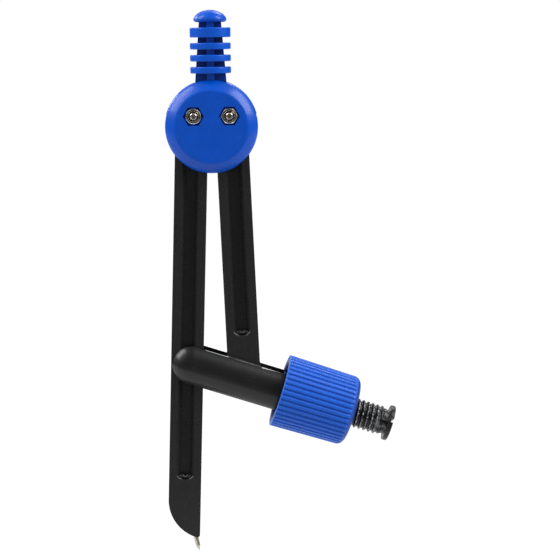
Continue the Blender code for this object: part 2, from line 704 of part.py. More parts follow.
def threaded_stud(leg):
    """Coarse screw fixed in the holder's end, with a slotted flange that stops the knob."""
    flange_end = FLANGE_START + FLANGE_THICKNESS
    stations = [(HOLDER_SLOT_END, STUD_TAIL_RADIUS), (THREAD_START, STUD_TAIL_RADIUS),
                (THREAD_START, THREAD_ROOT_RADIUS), (THREAD_END, THREAD_ROOT_RADIUS),
                (THREAD_END, STUD_NECK_RADIUS), (FLANGE_START, STUD_NECK_RADIUS),
                (FLANGE_START, FLANGE_RADIUS - FLANGE_EDGE),
                (FLANGE_START + FLANGE_EDGE, FLANGE_RADIUS),
                (flange_end - FLANGE_EDGE, FLANGE_RADIUS),
                (flange_end, FLANGE_RADIUS - FLANGE_EDGE)]
    thread = (THREAD_CREST_RADIUS, THREAD_CREST_SHARE, THREAD_BASE_SHARE, THREAD_PITCH)
    stud = turned(stations, SMALL_SIDES, "X", thread_after=2, thread=thread)
    over = FLANGE_RADIUS + OVERRUN
    slot = block((flange_end - STUD_SLOT_DEPTH, -over, -STUD_SLOT_WIDTH / 2),
                 (flange_end + OVERRUN, over, STUD_SLOT_WIDTH / 2))
    slot.data.transform(Matrix.Rotation(math.radians(STUD_SLOT_TURN), 4, "X"))
    return holder_frame(difference(stud, slot), "threaded_stud", BLACK_STUD, leg)


def ribbed(stations, ribs):
    """Solid along X through stations of (place, valley radius, crest radius)."""
    slope_share = (1 - RIB_CREST_SHARE - RIB_VALLEY_SHARE) / 2
    valley_start = RIB_CREST_SHARE + slope_share
    marks = ((0.0, 1), (RIB_CREST_SHARE, 1), (valley_start, 0),
             (valley_start + RIB_VALLEY_SHARE, 0))
    shape = bmesh.new()
    rings = []
    for place, valley, crest in stations:
        ring = []
        for rib in range(ribs):
            for share, level in marks:
                radius = crest if level else valley
                y, z = polar(radius, 2 * math.pi * (rib + share) / ribs)
                ring.append(shape.verts.new((place, y, z)))
        rings.append(ring)
    for near, far in zip(rings, rings[1:]):
        for index in range(len(near)):
            after = (index + 1) % len(near)
            shape.faces.new((near[index], near[after], far[after], far[index]))
    shape.faces.new(rings[0])
    shape.faces.new(rings[-1])
    return solid(shape)


def knob_outside():
    """Ribbed grip that narrows a little to a rounded shoulder and a flat end."""
    shoulder = KNOB_END - KNOB_SHOULDER_ROUNDING
    rib_start = KNOB_RIM + KNOB_RIM_BAND
    stations = [(KNOB_RIM, KNOB_RIM_RADIUS - KNOB_RIB_HEIGHT, KNOB_RIM_RADIUS - KNOB_RIB_HEIGHT),
                (rib_start, KNOB_RIM_RADIUS - KNOB_RIB_HEIGHT, KNOB_RIM_RADIUS),
                (shoulder, KNOB_SHOULDER_RADIUS - KNOB_RIB_HEIGHT, KNOB_SHOULDER_RADIUS)]
    for step in range(1, ARC_STEPS // 2 + 1):
        turn = math.pi / 2 * step / (ARC_STEPS // 2)
        place = shoulder + KNOB_SHOULDER_ROUNDING * math.sin(turn)
        radius = KNOB_FACE_RADIUS + KNOB_SHOULDER_DROP * math.cos(turn)
        valley = min(radius, KNOB_SHOULDER_RADIUS - KNOB_RIB_HEIGHT)
        stations.append((place, valley, radius))
    return ribbed(stations, KNOB_RIB_COUNT)


def clamp_knob(leg):
    """Knob that runs on the stud; its deep mouth goes over the holder."""
    bead_end = KNOB_RIM + KNOB_BEAD_WIDTH
    ring_end = bead_end + PRESSURE_RING_THICKNESS + 2 * FIT_GAP
    bore_radius = THREAD_CREST_RADIUS + THREAD_RUNNING_GAP
    stations = [(KNOB_RIM - OVERRUN, KNOB_BEAD_RADIUS), (bead_end, KNOB_BEAD_RADIUS),
                (bead_end, RING_GROOVE_RADIUS), (ring_end, RING_GROOVE_RADIUS),
                (ring_end, KNOB_CAVITY_RADIUS), (KNOB_FLOOR, KNOB_CAVITY_RADIUS),
                (KNOB_FLOOR, bore_radius), (KNOB_END + OVERRUN, bore_radius)]
    hollow = turned(stations, SMALL_SIDES, "X")
    knob = union(difference(knob_outside(), hollow), knob_thread(bore_radius))
    return holder_frame(knob, "clamp_knob", BLUE_KNOB, leg)


def knob_thread(bore_radius):
    """The knob's own thread: a helical ridge that stands in the stud's groove."""
    tip_radius = THREAD_ROOT_RADIUS + THREAD_RUNNING_GAP
    foot_radius = bore_radius + KNOB_THREAD_ROOT_DEPTH
    tip, foot = KNOB_THREAD_CREST_WIDTH / 2, KNOB_THREAD_BASE_WIDTH / 2
    corners = ((tip_radius, -tip), (foot_radius, -foot), (foot_radius, foot), (tip_radius, tip))
    margin = KNOB_THREAD_INSET + foot
    first = math.ceil((KNOB_FLOOR + margin - THREAD_START) / THREAD_PITCH * SMALL_SIDES)
    last = math.floor((KNOB_END - margin - THREAD_START) / THREAD_PITCH * SMALL_SIDES)
    shape = bmesh.new()
    rings = []
    for step in range(first, last + 1):
        turn = step / SMALL_SIDES
        place = THREAD_START + THREAD_PITCH * turn
        ring = []
        for radius, shift in corners:
            x, y = polar(radius, 2 * math.pi * turn)
            ring.append(shape.verts.new((x, y, place + shift)))
        rings.append(ring)
    for near, far in zip(rings, rings[1:]):
        for index in range(len(near)):
            after = (index + 1) % len(near)
            shape.faces.new((near[index], near[after], far[after], far[index]))
    shape.faces.new(rings[0])
    shape.faces.new(rings[-1])
    shape.transform(TURN_TO["X"])
    return solid(shape)


def pressure_ring(leg):
    """Ring inside the knob's mouth whose two keys slide in the holder's slot."""
    near = KNOB_RIM + KNOB_BEAD_WIDTH + FIT_GAP
    far = near + PRESSURE_RING_THICKNESS
    outer = RING_GROOVE_RADIUS - FIT_GAP
    inner = HOLDER_RADIUS + FIT_GAP
    ring = turned([(near, outer), (far, outer)], ROUND_SIDES, "X")
    difference(ring, turned([(near - OVERRUN, inner), (far + OVERRUN, inner)], ROUND_SIDES, "X"))
    half = SLOT_WIDTH / 2 - FIT_GAP
    lead = KNOB_RIM - PRESSURE_KEY_LEAD
    foot = KEYWAY_INNER + FIT_GAP
    nose = HOLDER_LAND - FIT_GAP
    root = (inner + outer) / 2
    back, front = far - PRESSURE_KEY_INSET, near + PRESSURE_KEY_INSET
    outline = [(lead, foot), (back, foot), (back, root), (front, root), (front, nose),
               (lead, nose)]
    upper = prism(outline, -half, half)
    lower = prism([(u, -v) for u, v in outline], -half, half)
    return holder_frame(union(ring, upper, lower), "pressure_ring", BLUE_KNOB, leg)


def pivot_bolt(side, x):
    """Pan head screw that a leg turns on; its domed end shows in the nut."""
    seat_y = -BOLT_HEAD_HEIGHT
    end_y = -HEAD_DEPTH - BOLT_END_PROUD
    stations = [(end_y, BOLT_RADIUS - BOLT_END_ROUNDING),
                (end_y + BOLT_END_ROUNDING / 2, BOLT_RADIUS),
                (seat_y, BOLT_RADIUS), (seat_y, BOLT_HEAD_RADIUS),
                (-BOLT_HEAD_CROWN, BOLT_HEAD_RADIUS), (0.0, BOLT_HEAD_RADIUS - BOLT_HEAD_CROWN)]
    bolt = turned(stations, SMALL_SIDES, "Y")
    over = BOLT_HEAD_RADIUS + OVERRUN
    slot = block((-over, -DRIVER_SLOT_DEPTH, -DRIVER_SLOT_WIDTH / 2),
                 (over, OVERRUN, DRIVER_SLOT_WIDTH / 2))
    difference(bolt, slot)
    return finish(bolt, "pivot_bolt_" + side, PLATED_STEEL, place=(x, 0.0, PIVOT_HEIGHT))


def pivot_nut(side, x, first_angle):
    """Hexagon nut in its pocket, its face level with the head's."""
    near, far = NUT_SEAT_Y - NUT_THICKNESS, NUT_SEAT_Y
    nut = prism(hexagon(NUT_ACROSS_FLATS, first_angle), near, far)
    corner = NUT_ACROSS_FLATS / math.sqrt(3)
    flat = NUT_ACROSS_FLATS / 2
    rounded = turned([(near, flat), (near + NUT_CHAMFER, corner + FIT_GAP),
                      (far - NUT_CHAMFER, corner + FIT_GAP), (far, flat)], SMALL_SIDES, "Y")
    intersection(nut, rounded)
    hole = turned([(near - OVERRUN, BOLT_HOLE_RADIUS), (far + OVERRUN, BOLT_HOLE_RADIUS)],
                  SMALL_SIDES, "Y")
    difference(nut, hole)
    return finish(nut, "pivot_nut_" + side, PLATED_STEEL, place=(x, 0.0, PIVOT_HEIGHT))


def build():
    clear_scene()
    front_cover()
    rear_cover()
    handle()
    left_leg = needle_leg()
    needle_point(left_leg)
    right_leg = pencil_leg()
    pencil_holder(right_leg)
    threaded_stud(right_leg)
    pressure_ring(right_leg)
    clamp_knob(right_leg)
    nut_turns = {"left": LEFT_NUT_TURN, "right": RIGHT_NUT_TURN}
    for side, x in pivot_places():
        pivot_bolt(side, x)
        pivot_nut(side, x, math.radians(nut_turns[side]))
    bpy.context.view_layer.update()


build()
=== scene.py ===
"""Drawing compass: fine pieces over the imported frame, their materials, a plain studio and camera.

Lengths in this script are in millimetres; the finished meshes are in metres.
"""
import math

import bmesh
import bpy
from mathutils import Matrix, Vector


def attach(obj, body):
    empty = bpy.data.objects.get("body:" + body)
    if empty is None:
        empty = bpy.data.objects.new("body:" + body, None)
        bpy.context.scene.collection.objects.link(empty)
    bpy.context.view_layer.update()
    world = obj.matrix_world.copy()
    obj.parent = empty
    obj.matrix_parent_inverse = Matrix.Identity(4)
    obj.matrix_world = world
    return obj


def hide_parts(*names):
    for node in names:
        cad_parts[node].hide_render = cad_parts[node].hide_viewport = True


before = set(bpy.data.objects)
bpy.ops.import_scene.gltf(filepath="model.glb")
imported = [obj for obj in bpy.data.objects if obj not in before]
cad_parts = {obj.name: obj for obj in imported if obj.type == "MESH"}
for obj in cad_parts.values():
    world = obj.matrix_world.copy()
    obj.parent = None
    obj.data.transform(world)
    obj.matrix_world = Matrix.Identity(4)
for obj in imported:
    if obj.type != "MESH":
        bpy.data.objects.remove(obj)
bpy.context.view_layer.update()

MM = 0.001


def turn_y(degrees):
    return Matrix.Rotation(math.radians(degrees), 4, "Y")


def shift(x, y, z):
    return Matrix.Translation((x, y, z))


# Places of the pieces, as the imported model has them. MIDDLE is the plane halfway through the
# head, REST and OPEN are a leg's angle from upright, CENTRE is a leg's middle line.
MIDDLE = -7.1
PIVOT_X, PIVOT_Z = 5.88, 3.55
REST, OPEN = 2.12, 50.0
CENTRE = 0.48
HOLDER_DROP, HOLDER_TILT = 88.35, 20.15
TILT = math.radians(HOLDER_TILT)
HEAD = Matrix.Identity(4)
HANDLE = shift(0, MIDDLE, 0)
LEFT_LEG = shift(-PIVOT_X, MIDDLE, PIVOT_Z) @ turn_y(REST)
RIGHT_LEG = shift(PIVOT_X, MIDDLE, PIVOT_Z) @ turn_y(-REST)
FLIP = Matrix.Scale(-1.0, 4, (1, 0, 0))
HOLDER = RIGHT_LEG @ shift(CENTRE, 0, -HOLDER_DROP) @ turn_y(HOLDER_TILT)
ALONG_X = Matrix.Rotation(math.pi / 2, 4, "Y")
ALONG_Y = Matrix.Rotation(-math.pi / 2, 4, "X")

# Head: its radius, the radius of its flat face, its depth, a cover's plate, the covers' wall
DISC, FLAT, DEPTH, PLATE, WALL = 15.4236, 11.5236, 14.2, 3.1, 2.2
PARTING = 0.15
PEG_Z, PEG, PEG_HOLE = 12.5515, 1.3, 1.6
PIVOT_HOLE, PLAY = 1.55, 0.3
NUT_NEAR, NUT_FAR, NUT_HOLE = -13.9, -12.1, 1.50
NUT_FLATS, POCKET_FLATS = 5.0, 6.0
BOLT, BOLT_HEAD, BOLT_SEAT, BOLT_END = 1.25, 2.35, -1.5, -14.6

# Legs: inner and outer edge, half the thickness, the whole wheel's teeth, and the grooves
INNER, OUTER, THICK = -4.895, 5.855, 3.7
TEETH = 16
GROOVE_TOP, GROOVE_HALF, GROOVE_DEPTH = 9.85, 2.85, 1.7
NEEDLE_GROOVE, PENCIL_GROOVE = 121.85, 73.35
NEEDLE_X, NEEDLE_DROP, NEEDLE_LEAN = -4.845, 146.75, math.radians(15.5)

# Holder, screw and knob, along the holder's axis
BAR, BAR_END, SLOT_HALF, SLOT_END = 7.49, 25.5, 4.0, 20.5
ROOT, CREST, PITCH, THREAD_FROM, THREAD_TO = 4.3, 4.95, 1.65, 25.8, 48.7
FLANGE_FROM, FLANGE_TO, FLANGE = 49.8, 51.4, 6.0
RIM, KNOB_END, FLOOR = 12.33, 37.83, 32.43
SHOULDER_ROUND = 2.6
SHOULDER = KNOB_END - SHOULDER_ROUND
KNOB, TAPER, RIBS, KNOB_BORE = 12.25, 0.45, 42, 5.25

# Mesh tools: how far a tool reaches past what it cuts, and limits for welds and shading
OVER, FAR = 1.0, 17.0
POLE, WELD = 1e-6, 2e-6
ARC_STEP, SHARP = math.radians(15), math.radians(50)

# ---- mesh helpers


def polar(radius, angle):
    return radius * math.cos(angle), radius * math.sin(angle)


def arc(centre, radius, start, end, steps):
    points = []
    for step in range(steps + 1):
        x, z = polar(radius, start + (end - start) * step / steps)
        points.append((centre[0] + x, centre[1] + z))
    return points


def rounded(corners, closed=False):
    """Polyline with its corners rounded; each corner is (x, y) or (x, y, radius)."""
    count = len(corners)
    points = []
    for index, corner in enumerate(corners):
        here = Vector(corner[:2])
        radius = corner[2] if len(corner) > 2 else 0.0
        if radius <= 0 or (not closed and index in (0, count - 1)):
            points.append(tuple(here))
            continue
        before = Vector(corners[index - 1][:2]) - here
        after = Vector(corners[(index + 1) % count][:2]) - here
        angle = before.angle(after)
        reach = radius / math.tan(angle / 2)
        reach = min(reach, before.length * 0.499, after.length * 0.499)
        radius = reach * math.tan(angle / 2)
        middle = here + (before.normalized() + after.normalized()).normalized() * (
            radius / math.sin(angle / 2))
        first = here + before.normalized() * reach - middle
        last = here + after.normalized() * reach - middle
        swing = first.angle_signed(last)
        steps = max(2, math.ceil(abs(swing) / ARC_STEP))
        for step in range(steps + 1):
            turned = first.copy()
            turned.rotate(Matrix.Rotation(-swing * step / steps, 2))
            points.append(tuple(middle + turned))
    return points


def new_object(name, shape, place):
    """Object from a bmesh in millimetres, put in its place in the mesh itself."""
    shape.transform(Matrix.Scale(MM, 4) @ place)
    bmesh.ops.recalc_face_normals(shape, faces=shape.faces)
    mesh = bpy.data.meshes.new(name)
    shape.to_mesh(mesh)
    shape.free()
    made = bpy.data.objects.new(name, mesh)
    bpy.context.scene.collection.objects.link(made)
    return made


def skin(shape, rings, closed_rings=False):
    """Quads between rings of equal length; a ring of one vertex is a pole."""
    pairs = list(zip(rings, rings[1:]))
    if closed_rings:
        pairs.append((rings[-1], rings[0]))
    for near, far in pairs:
        count = max(len(near), len(far))
        for index in range(count):
            after = (index + 1) % count
            corners = [near[index % len(near)], near[after % len(near)],
                       far[after % len(far)], far[index % len(far)]]
            face = []
            for corner in corners:
                if corner not in face:
                    face.append(corner)
            if len(face) > 2:
                shape.faces.new(face)


def lathe(name, profile, sides, place, closed=False, radius_at=None):
    """Solid of revolution about Z through (place along the axis, radius)."""
    shape = bmesh.new()
    rings = []
    for height, radius in profile:
        if radius <= POLE:
            rings.append([shape.verts.new((0, 0, height))])
            continue
        ring = []
        for side in range(sides):
            angle = 2 * math.pi * side / sides
            reach = radius_at(height, radius, angle) if radius_at else radius
            x, y = polar(reach, angle)
            ring.append(shape.verts.new((x, y, height)))
        rings.append(ring)
    skin(shape, rings, closed)
    if not closed:
        for ring in (rings[0], rings[-1]):
            if len(ring) > 1:
                shape.faces.new(ring)
    return new_object(name, shape, place)


def loft(name, levels, place):
    """Solid through outlines of the XZ plane, each with its place on the Y axis."""
    shape = bmesh.new()
    rings = [[shape.verts.new((x, y, z)) for x, z in outline] for y, outline in levels]
    shape.faces.new(rings[0])
    shape.faces.new(rings[-1])
    skin(shape, rings)
    return new_object(name, shape, place)


def prism(name, outline, near, far, place):
    return loft(name, [(near, outline), (far, outline)], place)


def block(low, high, place):
    outline = [(low[0], low[2]), (high[0], low[2]), (high[0], high[2]), (low[0], high[2])]
    return prism("block", outline, low[1], high[1], place)


def bake(item):
    """Apply an object's modifiers to its mesh."""
    graph = bpy.context.evaluated_depsgraph_get()
    mesh = bpy.data.meshes.new_from_object(item.evaluated_get(graph))
    item.modifiers.clear()
    old = item.data
    item.data = mesh
    bpy.data.meshes.remove(old)
    mesh.name = item.name
    return item


def combine(operation, base, tools):
    for tool in tools:
        step = base.modifiers.new("boolean", "BOOLEAN")
        step.operation = operation
        step.solver = "EXACT"
        step.object = tool
        bake(base)
        bpy.data.objects.remove(tool, do_unlink=True)
    return base


def cut(base, *tools):
    return combine("DIFFERENCE", base, tools)


def join(base, *tools):
    return combine("UNION", base, tools)


def polish(item, width, angle=30.0, segments=3):
    """Round the sharp edges a little, and shade the faces between them evenly."""
    shape = bmesh.new()
    shape.from_mesh(item.data)
    bmesh.ops.remove_doubles(shape, verts=shape.verts, dist=WELD)
    bmesh.ops.dissolve_degenerate(shape, edges=shape.edges, dist=WELD)
    shape.to_mesh(item.data)
    shape.free()
    item.data.shade_smooth()
    if width > 0:
        step = item.modifiers.new("edges", "BEVEL")
        step.width = width * MM
        step.segments = segments
        step.limit_method = "ANGLE"
        step.angle_limit = math.radians(angle)
        step.use_clamp_overlap = True
        step.miter_outer = "MITER_ARC"
        bake(item)
    item.data.shade_smooth()
    item.data.set_sharp_from_angle(angle=SHARP)
    normals = item.modifiers.new("normals", "WEIGHTED_NORMAL")
    normals.keep_sharp = True
    return bake(item)


def piece(item, body, material, slot, *nodes):
    """Give a finished piece its material, and let it stand for its CAD nodes."""
    item.data.materials.clear()
    item.data.materials.append(material)
    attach(item, body)
    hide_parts(*nodes)
    return item


# ---- materials


def node(tree, kind, settings=None, **inputs):
    """One shader node; an input named i0, i1 ... is taken by its number."""
    made = tree.nodes.new("ShaderNode" + kind)
    for key, value in (settings or {}).items():
        setattr(made, key, value)
    for key, value in inputs.items():
        socket = made.inputs[int(key[1:]) if key[1:].isdigit() else key.replace("_", " ")]
        if isinstance(value, bpy.types.NodeSocket):
            tree.links.new(value, socket)
        else:
            socket.default_value = value
    return made


def math_node(tree, operation, first, second=0.0):
    return node(tree, "Math", {"operation": operation}, i0=first, i1=second).outputs[0]


def times(tree, *values):
    """Product of two or more values."""
    product = values[0]
    for value in values[1:]:
        product = math_node(tree, "MULTIPLY", product, value)
    return product


def spread(tree, value, low, high, to_low, to_high, smooth=False):
    """Carry a value from one range to another, held at its ends."""
    return node(tree, "MapRange", {"interpolation_type": "SMOOTHSTEP" if smooth else "LINEAR"},
                Value=value, From_Min=low, From_Max=high, To_Min=to_low,
                To_Max=to_high).outputs[0]


def mix(tree, factor, first, second):
    """Colour between two others."""
    made = tree.nodes.new("ShaderNodeMix")
    made.data_type = "RGBA"
    for number, value in ((0, factor), (6, first), (7, second)):
        if isinstance(value, bpy.types.NodeSocket):
            tree.links.new(value, made.inputs[number])
        else:
            made.inputs[number].default_value = value if isinstance(value, float) else (*value, 1.0)
    return made.outputs[2]


def noise(tree, place, scale, detail=2.0, roughness=0.5, stretch=None):
    """Noise per millimetre, stretched by a scale for each axis."""
    if stretch:
        place = node(tree, "Mapping", Vector=place, Scale=stretch).outputs[0]
    return node(tree, "TexNoise", Vector=place, Scale=scale, Detail=detail,
                Roughness=roughness).outputs[0]


def look(name, place):
    """Material with a Principled shader and its piece's own millimetre coordinates."""
    material = bpy.data.materials.new(name)
    material.use_nodes = True
    tree = material.node_tree
    shader = tree.nodes["Principled BSDF"]
    back = place.inverted()
    local = node(tree, "Mapping", Vector=node(tree, "TexCoord").outputs["Object"],
                 Location=back.to_translation(), Rotation=back.to_euler(),
                 Scale=(1 / MM, 1 / MM, 1 / MM)).outputs[0]
    return material, tree, shader, local


def bump(tree, shader, height, strength, distance, below=None):
    """Relief under a millimetre, over an earlier one if there is one."""
    inputs = {"Height": height, "Strength": strength, "Distance": distance * MM}
    if below is not None:
        inputs["Normal"] = below
    made = node(tree, "Bump", **inputs).outputs[0]
    tree.links.new(made, shader.inputs["Normal"])
    return made


def paint(tree, shader, colour):
    tree.links.new(colour, shader.inputs["Base Color"])


def coordinates(tree, local):
    return node(tree, "SeparateXYZ", Vector=local).outputs


def plastic(name, place, colour, worn, rough, scratch=(9.0, 9.0, 0.5), specular=0.27, speck=0.0,
            streak=(1.0, 1.0, 1.0)):
    """Moulded plastic: mottled colour, fine grain, scratches along one axis and a few specks."""
    mottle, scratch_share, speck_share, grain_scale, uneven = 0.06, 0.30, 0.8, 3.0, 0.02
    material, tree, shader, local = look(name, place)
    shader.inputs["Specular IOR Level"].default_value = specular
    cloud = noise(tree, local, 0.22, 3.0)
    shade = mix(tree, spread(tree, cloud, 0.3, 0.7, 0.0, 1.0),
                [c * (1 - mottle) for c in colour], [c * (1 + mottle) for c in colour])
    lines = noise(tree, local, 1.0, 3.0, 0.65, scratch)
    marks = spread(tree, lines, 0.62, 0.70, 0.0, 1.0)
    patch = spread(tree, noise(tree, local, 0.35, 2.0), 0.48, 0.62, 0.0, 1.0, True)
    marks = times(tree, marks, patch)
    shade = mix(tree, times(tree, marks, scratch_share), shade, worn)
    if speck:
        dots = node(tree, "TexVoronoi", Vector=local, Scale=0.9)
        near = spread(tree, dots.outputs["Distance"], 0.05, 0.10, 1.0, 0.0)
        few = node(tree, "SeparateColor", Color=dots.outputs["Color"]).outputs[0]
        few = spread(tree, few, 1.0 - speck, 1.0 - speck + 0.02, 0.0, 1.0)
        shade = mix(tree, times(tree, near, few, speck_share), shade, worn)
    paint(tree, shader, shade)
    fine = noise(tree, local, 1.0, 3.0, 0.6, [grain_scale * share for share in streak])
    gloss = spread(tree, noise(tree, local, 0.3, 2.0, 0.5), 0.3, 0.7,
                   rough - uneven, rough + uneven)
    gloss = math_node(tree, "ADD", gloss, times(tree, marks, 0.12))
    tree.links.new(gloss, shader.inputs["Roughness"])
    first = bump(tree, shader, fine, 0.04, 0.006)
    bump(tree, shader, marks, 0.12, 0.004, first)
    return material, tree, shader, local, shade


def metal(name, place, colour, rough, axis_scale):
    """Plated steel: brushed streaks, small stains and uneven gloss."""
    stained = (0.72, 0.64, 0.50)
    material, tree, shader, local = look(name, place)
    shader.inputs["Metallic"].default_value = 1.0
    streaks = noise(tree, local, 1.0, 3.0, 0.6, axis_scale)
    stain = spread(tree, noise(tree, local, 1.6, 4.0, 0.6), 0.45, 0.7, 0.0, 1.0, True)
    shade = mix(tree, spread(tree, streaks, 0.3, 0.7, 0.0, 1.0),
                [c * 0.90 for c in colour], [min(1.0, c * 1.06) for c in colour])
    shade = mix(tree, times(tree, stain, 0.35), shade,
                [c * share for c, share in zip(colour, stained)])
    paint(tree, shader, shade)
    gloss = spread(tree, streaks, 0.3, 0.7, rough * 0.8, rough * 1.25)
    gloss = math_node(tree, "ADD", gloss, times(tree, stain, 0.08))
    tree.links.new(gloss, shader.inputs["Roughness"])
    bump(tree, shader, streaks, 0.12, 0.004)
    return material, tree, shader, local, shade


HEAD_BLUE = (0.0003, 0.054, 0.375)
KNOB_BLUE = (0.002, 0.068, 0.41)
LEG_BLACK, BAR_BLACK = (0.0130, 0.0130, 0.0133), (0.0098, 0.0098, 0.0101)
# The second colour on the next line is painted shade for the legs' troughs.
LEG_STREAK, TROUGH_SHADE_BLACK = (0.0205, 0.0205, 0.0210), (0.0060, 0.0060, 0.0062)
SCREW_BLACK = (0.0055, 0.0055, 0.006)
GREY_WEAR = (0.10, 0.10, 0.11)
NICKEL = (0.66, 0.60, 0.48)
STEEL = (0.46, 0.43, 0.38)
PALE_BLUE = (0.10, 0.22, 0.62)
ALONG_HOLDER = (0.5, 9.0, 9.0)

head_blue = plastic("moulded_blue_head", HEAD, HEAD_BLUE, PALE_BLUE, 0.26, specular=0.21)[0]
# The pressure ring is the knob's blue plastic, painted dark navy as the shade inside the knob's
# mouth.
ring_blue_painted_shade = plastic("moulded_blue_ring", HOLDER, (0.0004, 0.020, 0.14), PALE_BLUE, 0.42,
                    scratch=ALONG_HOLDER)[0]
needle_steel = metal("needle_wire", LEFT_LEG, STEEL, 0.24, (9.0, 9.0, 0.8))[0]


def root_of_squares(tree, *values):
    squares = [times(tree, value, value) for value in values]
    return math_node(tree, "SQRT", math_node(tree, "ADD", *squares))


def nickel_painted_corner_highlight():
    """Plating of bolts and nuts, lighter on the nuts' corners: rubbed plating and a painted
    highlight of the chamfers.
    """
    material, tree, shader, local, shade = metal("nickel_plate", HEAD, NICKEL, 0.22,
                                                 (7.0, 1.0, 7.0))
    parts = coordinates(tree, local)
    across = math_node(tree, "SUBTRACT", math_node(tree, "ABSOLUTE", parts[0]), PIVOT_X)
    above = math_node(tree, "SUBTRACT", parts[2], PIVOT_Z)
    # Lighter nickel on the nuts' corners: rubbed plating and a painted highlight of the chamfers.
    corner = spread(tree, root_of_squares(tree, across, above), 2.32, 2.40, 0.0, 0.9)
    paint(tree, shader, mix(tree, corner, shade, (0.95, 0.93, 0.89)))
    return material


def from_axis(tree, local):
    """Distance from the holder's axis, and the place along it."""
    along, depth, height = coordinates(tree, local)
    return root_of_squares(tree, depth, height), along


def leg_black(name, place):
    """Black of a leg, faintly streaked along it, with painted shade deeper in the troughs."""
    material, tree, shader, local, shade = plastic(name, place, LEG_BLACK, GREY_WEAR, 0.27,
                                                   speck=0.05, streak=(1.6, 1.6, 0.12))
    depth = math_node(tree, "ABSOLUTE", coordinates(tree, local)[1])
    # Painted shade: the black gets darker towards the troughs' floors.
    inner = spread(tree, depth, 2.4, 3.5, 1.0, 0.0)
    streaks = noise(tree, local, 1.0, 3.0, 0.6, (2.4, 2.4, 0.04))
    shade = mix(tree, spread(tree, streaks, 0.35, 0.65, 0.0, 0.35), shade, LEG_STREAK)
    paint(tree, shader, mix(tree, times(tree, inner, 0.5), shade, TROUGH_SHADE_BLACK))
    return material


def handle_blue_painted_light():
    """Blue of the handle, with painted shade in the recesses beside the rib and a painted highlight
    on the rib's front face.
    """
    material, tree, shader, local, shade = plastic("moulded_blue_handle", HANDLE, HEAD_BLUE,
                                                   PALE_BLUE, 0.30, specular=0.18)
    parts = coordinates(tree, local)
    width, depth = [math_node(tree, "ABSOLUTE", parts[index]) for index in (0, 1)]
    core = times(tree, spread(tree, width, 5.0, 5.6, 1.0, 0.0),
                 spread(tree, parts[2], 34.0, 34.3, 1.0, 0.0))
    # Painted shade: darker deeper in the recesses beside the rib.
    recess_shade = times(tree, core, spread(tree, depth, 1.5, 3.2, 1.0, 0.0, True))
    dark = mix(tree, times(tree, recess_shade, 0.50), shade, (0.0004, 0.016, 0.13))
    # Painted highlight: the rib's front face is lighter blue.
    rib = times(tree, core, spread(tree, depth, 3.2, 3.38, 0.0, 1.0))
    paint(tree, shader, mix(tree, times(tree, rib, 0.5), dark, (0.002, 0.070, 0.44)))
    return material


def knob_blue_painted_light():
    """Blue of the knob: lighter on the rib crests (wear and painted highlight), darker between them
    (dust and painted shade), with painted shade inside the cup and a painted highlight along the
    rim.
    """
    material, tree, shader, local, shade = plastic(
        "moulded_blue_knob", HOLDER, KNOB_BLUE, PALE_BLUE, 0.42, scratch=ALONG_HOLDER,
        specular=0.24)
    radius, along = from_axis(tree, local)
    skin_radius = spread(tree, along, RIM, SHOULDER, KNOB, KNOB - TAPER)
    below = math_node(tree, "SUBTRACT", skin_radius, radius)
    level = spread(tree, below, 0.10, 0.40, 1.0, 0.0, True)
    outside = spread(tree, radius, 11.2, 11.35, 0.0, 1.0)
    # Darker between the ribs: dust and painted shade.
    valley = times(tree, math_node(tree, "SUBTRACT", 1.0, level), 0.40)
    dark = mix(tree, valley, shade, (0.000, 0.036, 0.30))
    # Lighter on the rib crests: wear and a painted highlight.
    pale = mix(tree, times(tree, level, 0.25), dark, (0.008, 0.10, 0.50))
    # Painted shade inside the cup.
    inside = mix(tree, 0.65, shade, (0.001, 0.012, 0.08))
    # Painted highlight: a pale line along the mouth's edge.
    rim_highlight = times(tree, spread(tree, along, RIM + 0.03, RIM + 0.29, 0.25, 0.0), outside)
    coat = mix(tree, outside, inside, pale)
    paint(tree, shader, mix(tree, rim_highlight, coat, (0.12, 0.30, 0.80)))
    return material


def holder_black_painted_highlight():
    """Black of the holder, with a painted highlight: a pale line along the upper front edge of the
    slot.
    """
    material, tree, shader, local, shade = plastic(
        "moulded_black_holder", HOLDER, BAR_BLACK, GREY_WEAR, 0.26, scratch=ALONG_HOLDER,
        speck=0.012)
    along, depth, height = coordinates(tree, local)
    edges = []
    # Where a length of painted highlight starts and ends, and its width there
    for start, end, first, last in ((-15.7, -7.3, 0.13, 0.18), (3.9, 11.8, 0.34, -0.04)):
        width = spread(tree, along, start, end, first, last)
        inside = times(tree, spread(tree, along, start, start + 0.3, 0.0, 1.0),
                       spread(tree, along, end - 0.8, end, 1.0, 0.0))
        reach = math_node(tree, "ADD", height, width)
        edges.append(times(tree, inside, spread(tree, reach, 6.30, 6.42, 0.0, 1.0)))
    front = spread(tree, depth, -SLOT_HALF - 0.1, -SLOT_HALF + 0.1, 1.0, 0.0)
    # Painted highlight along the slot's upper front edge.
    worn = times(tree, math_node(tree, "ADD", *edges), front, 0.85)
    paint(tree, shader, mix(tree, worn, shade, (0.42, 0.43, 0.44)))
    return material


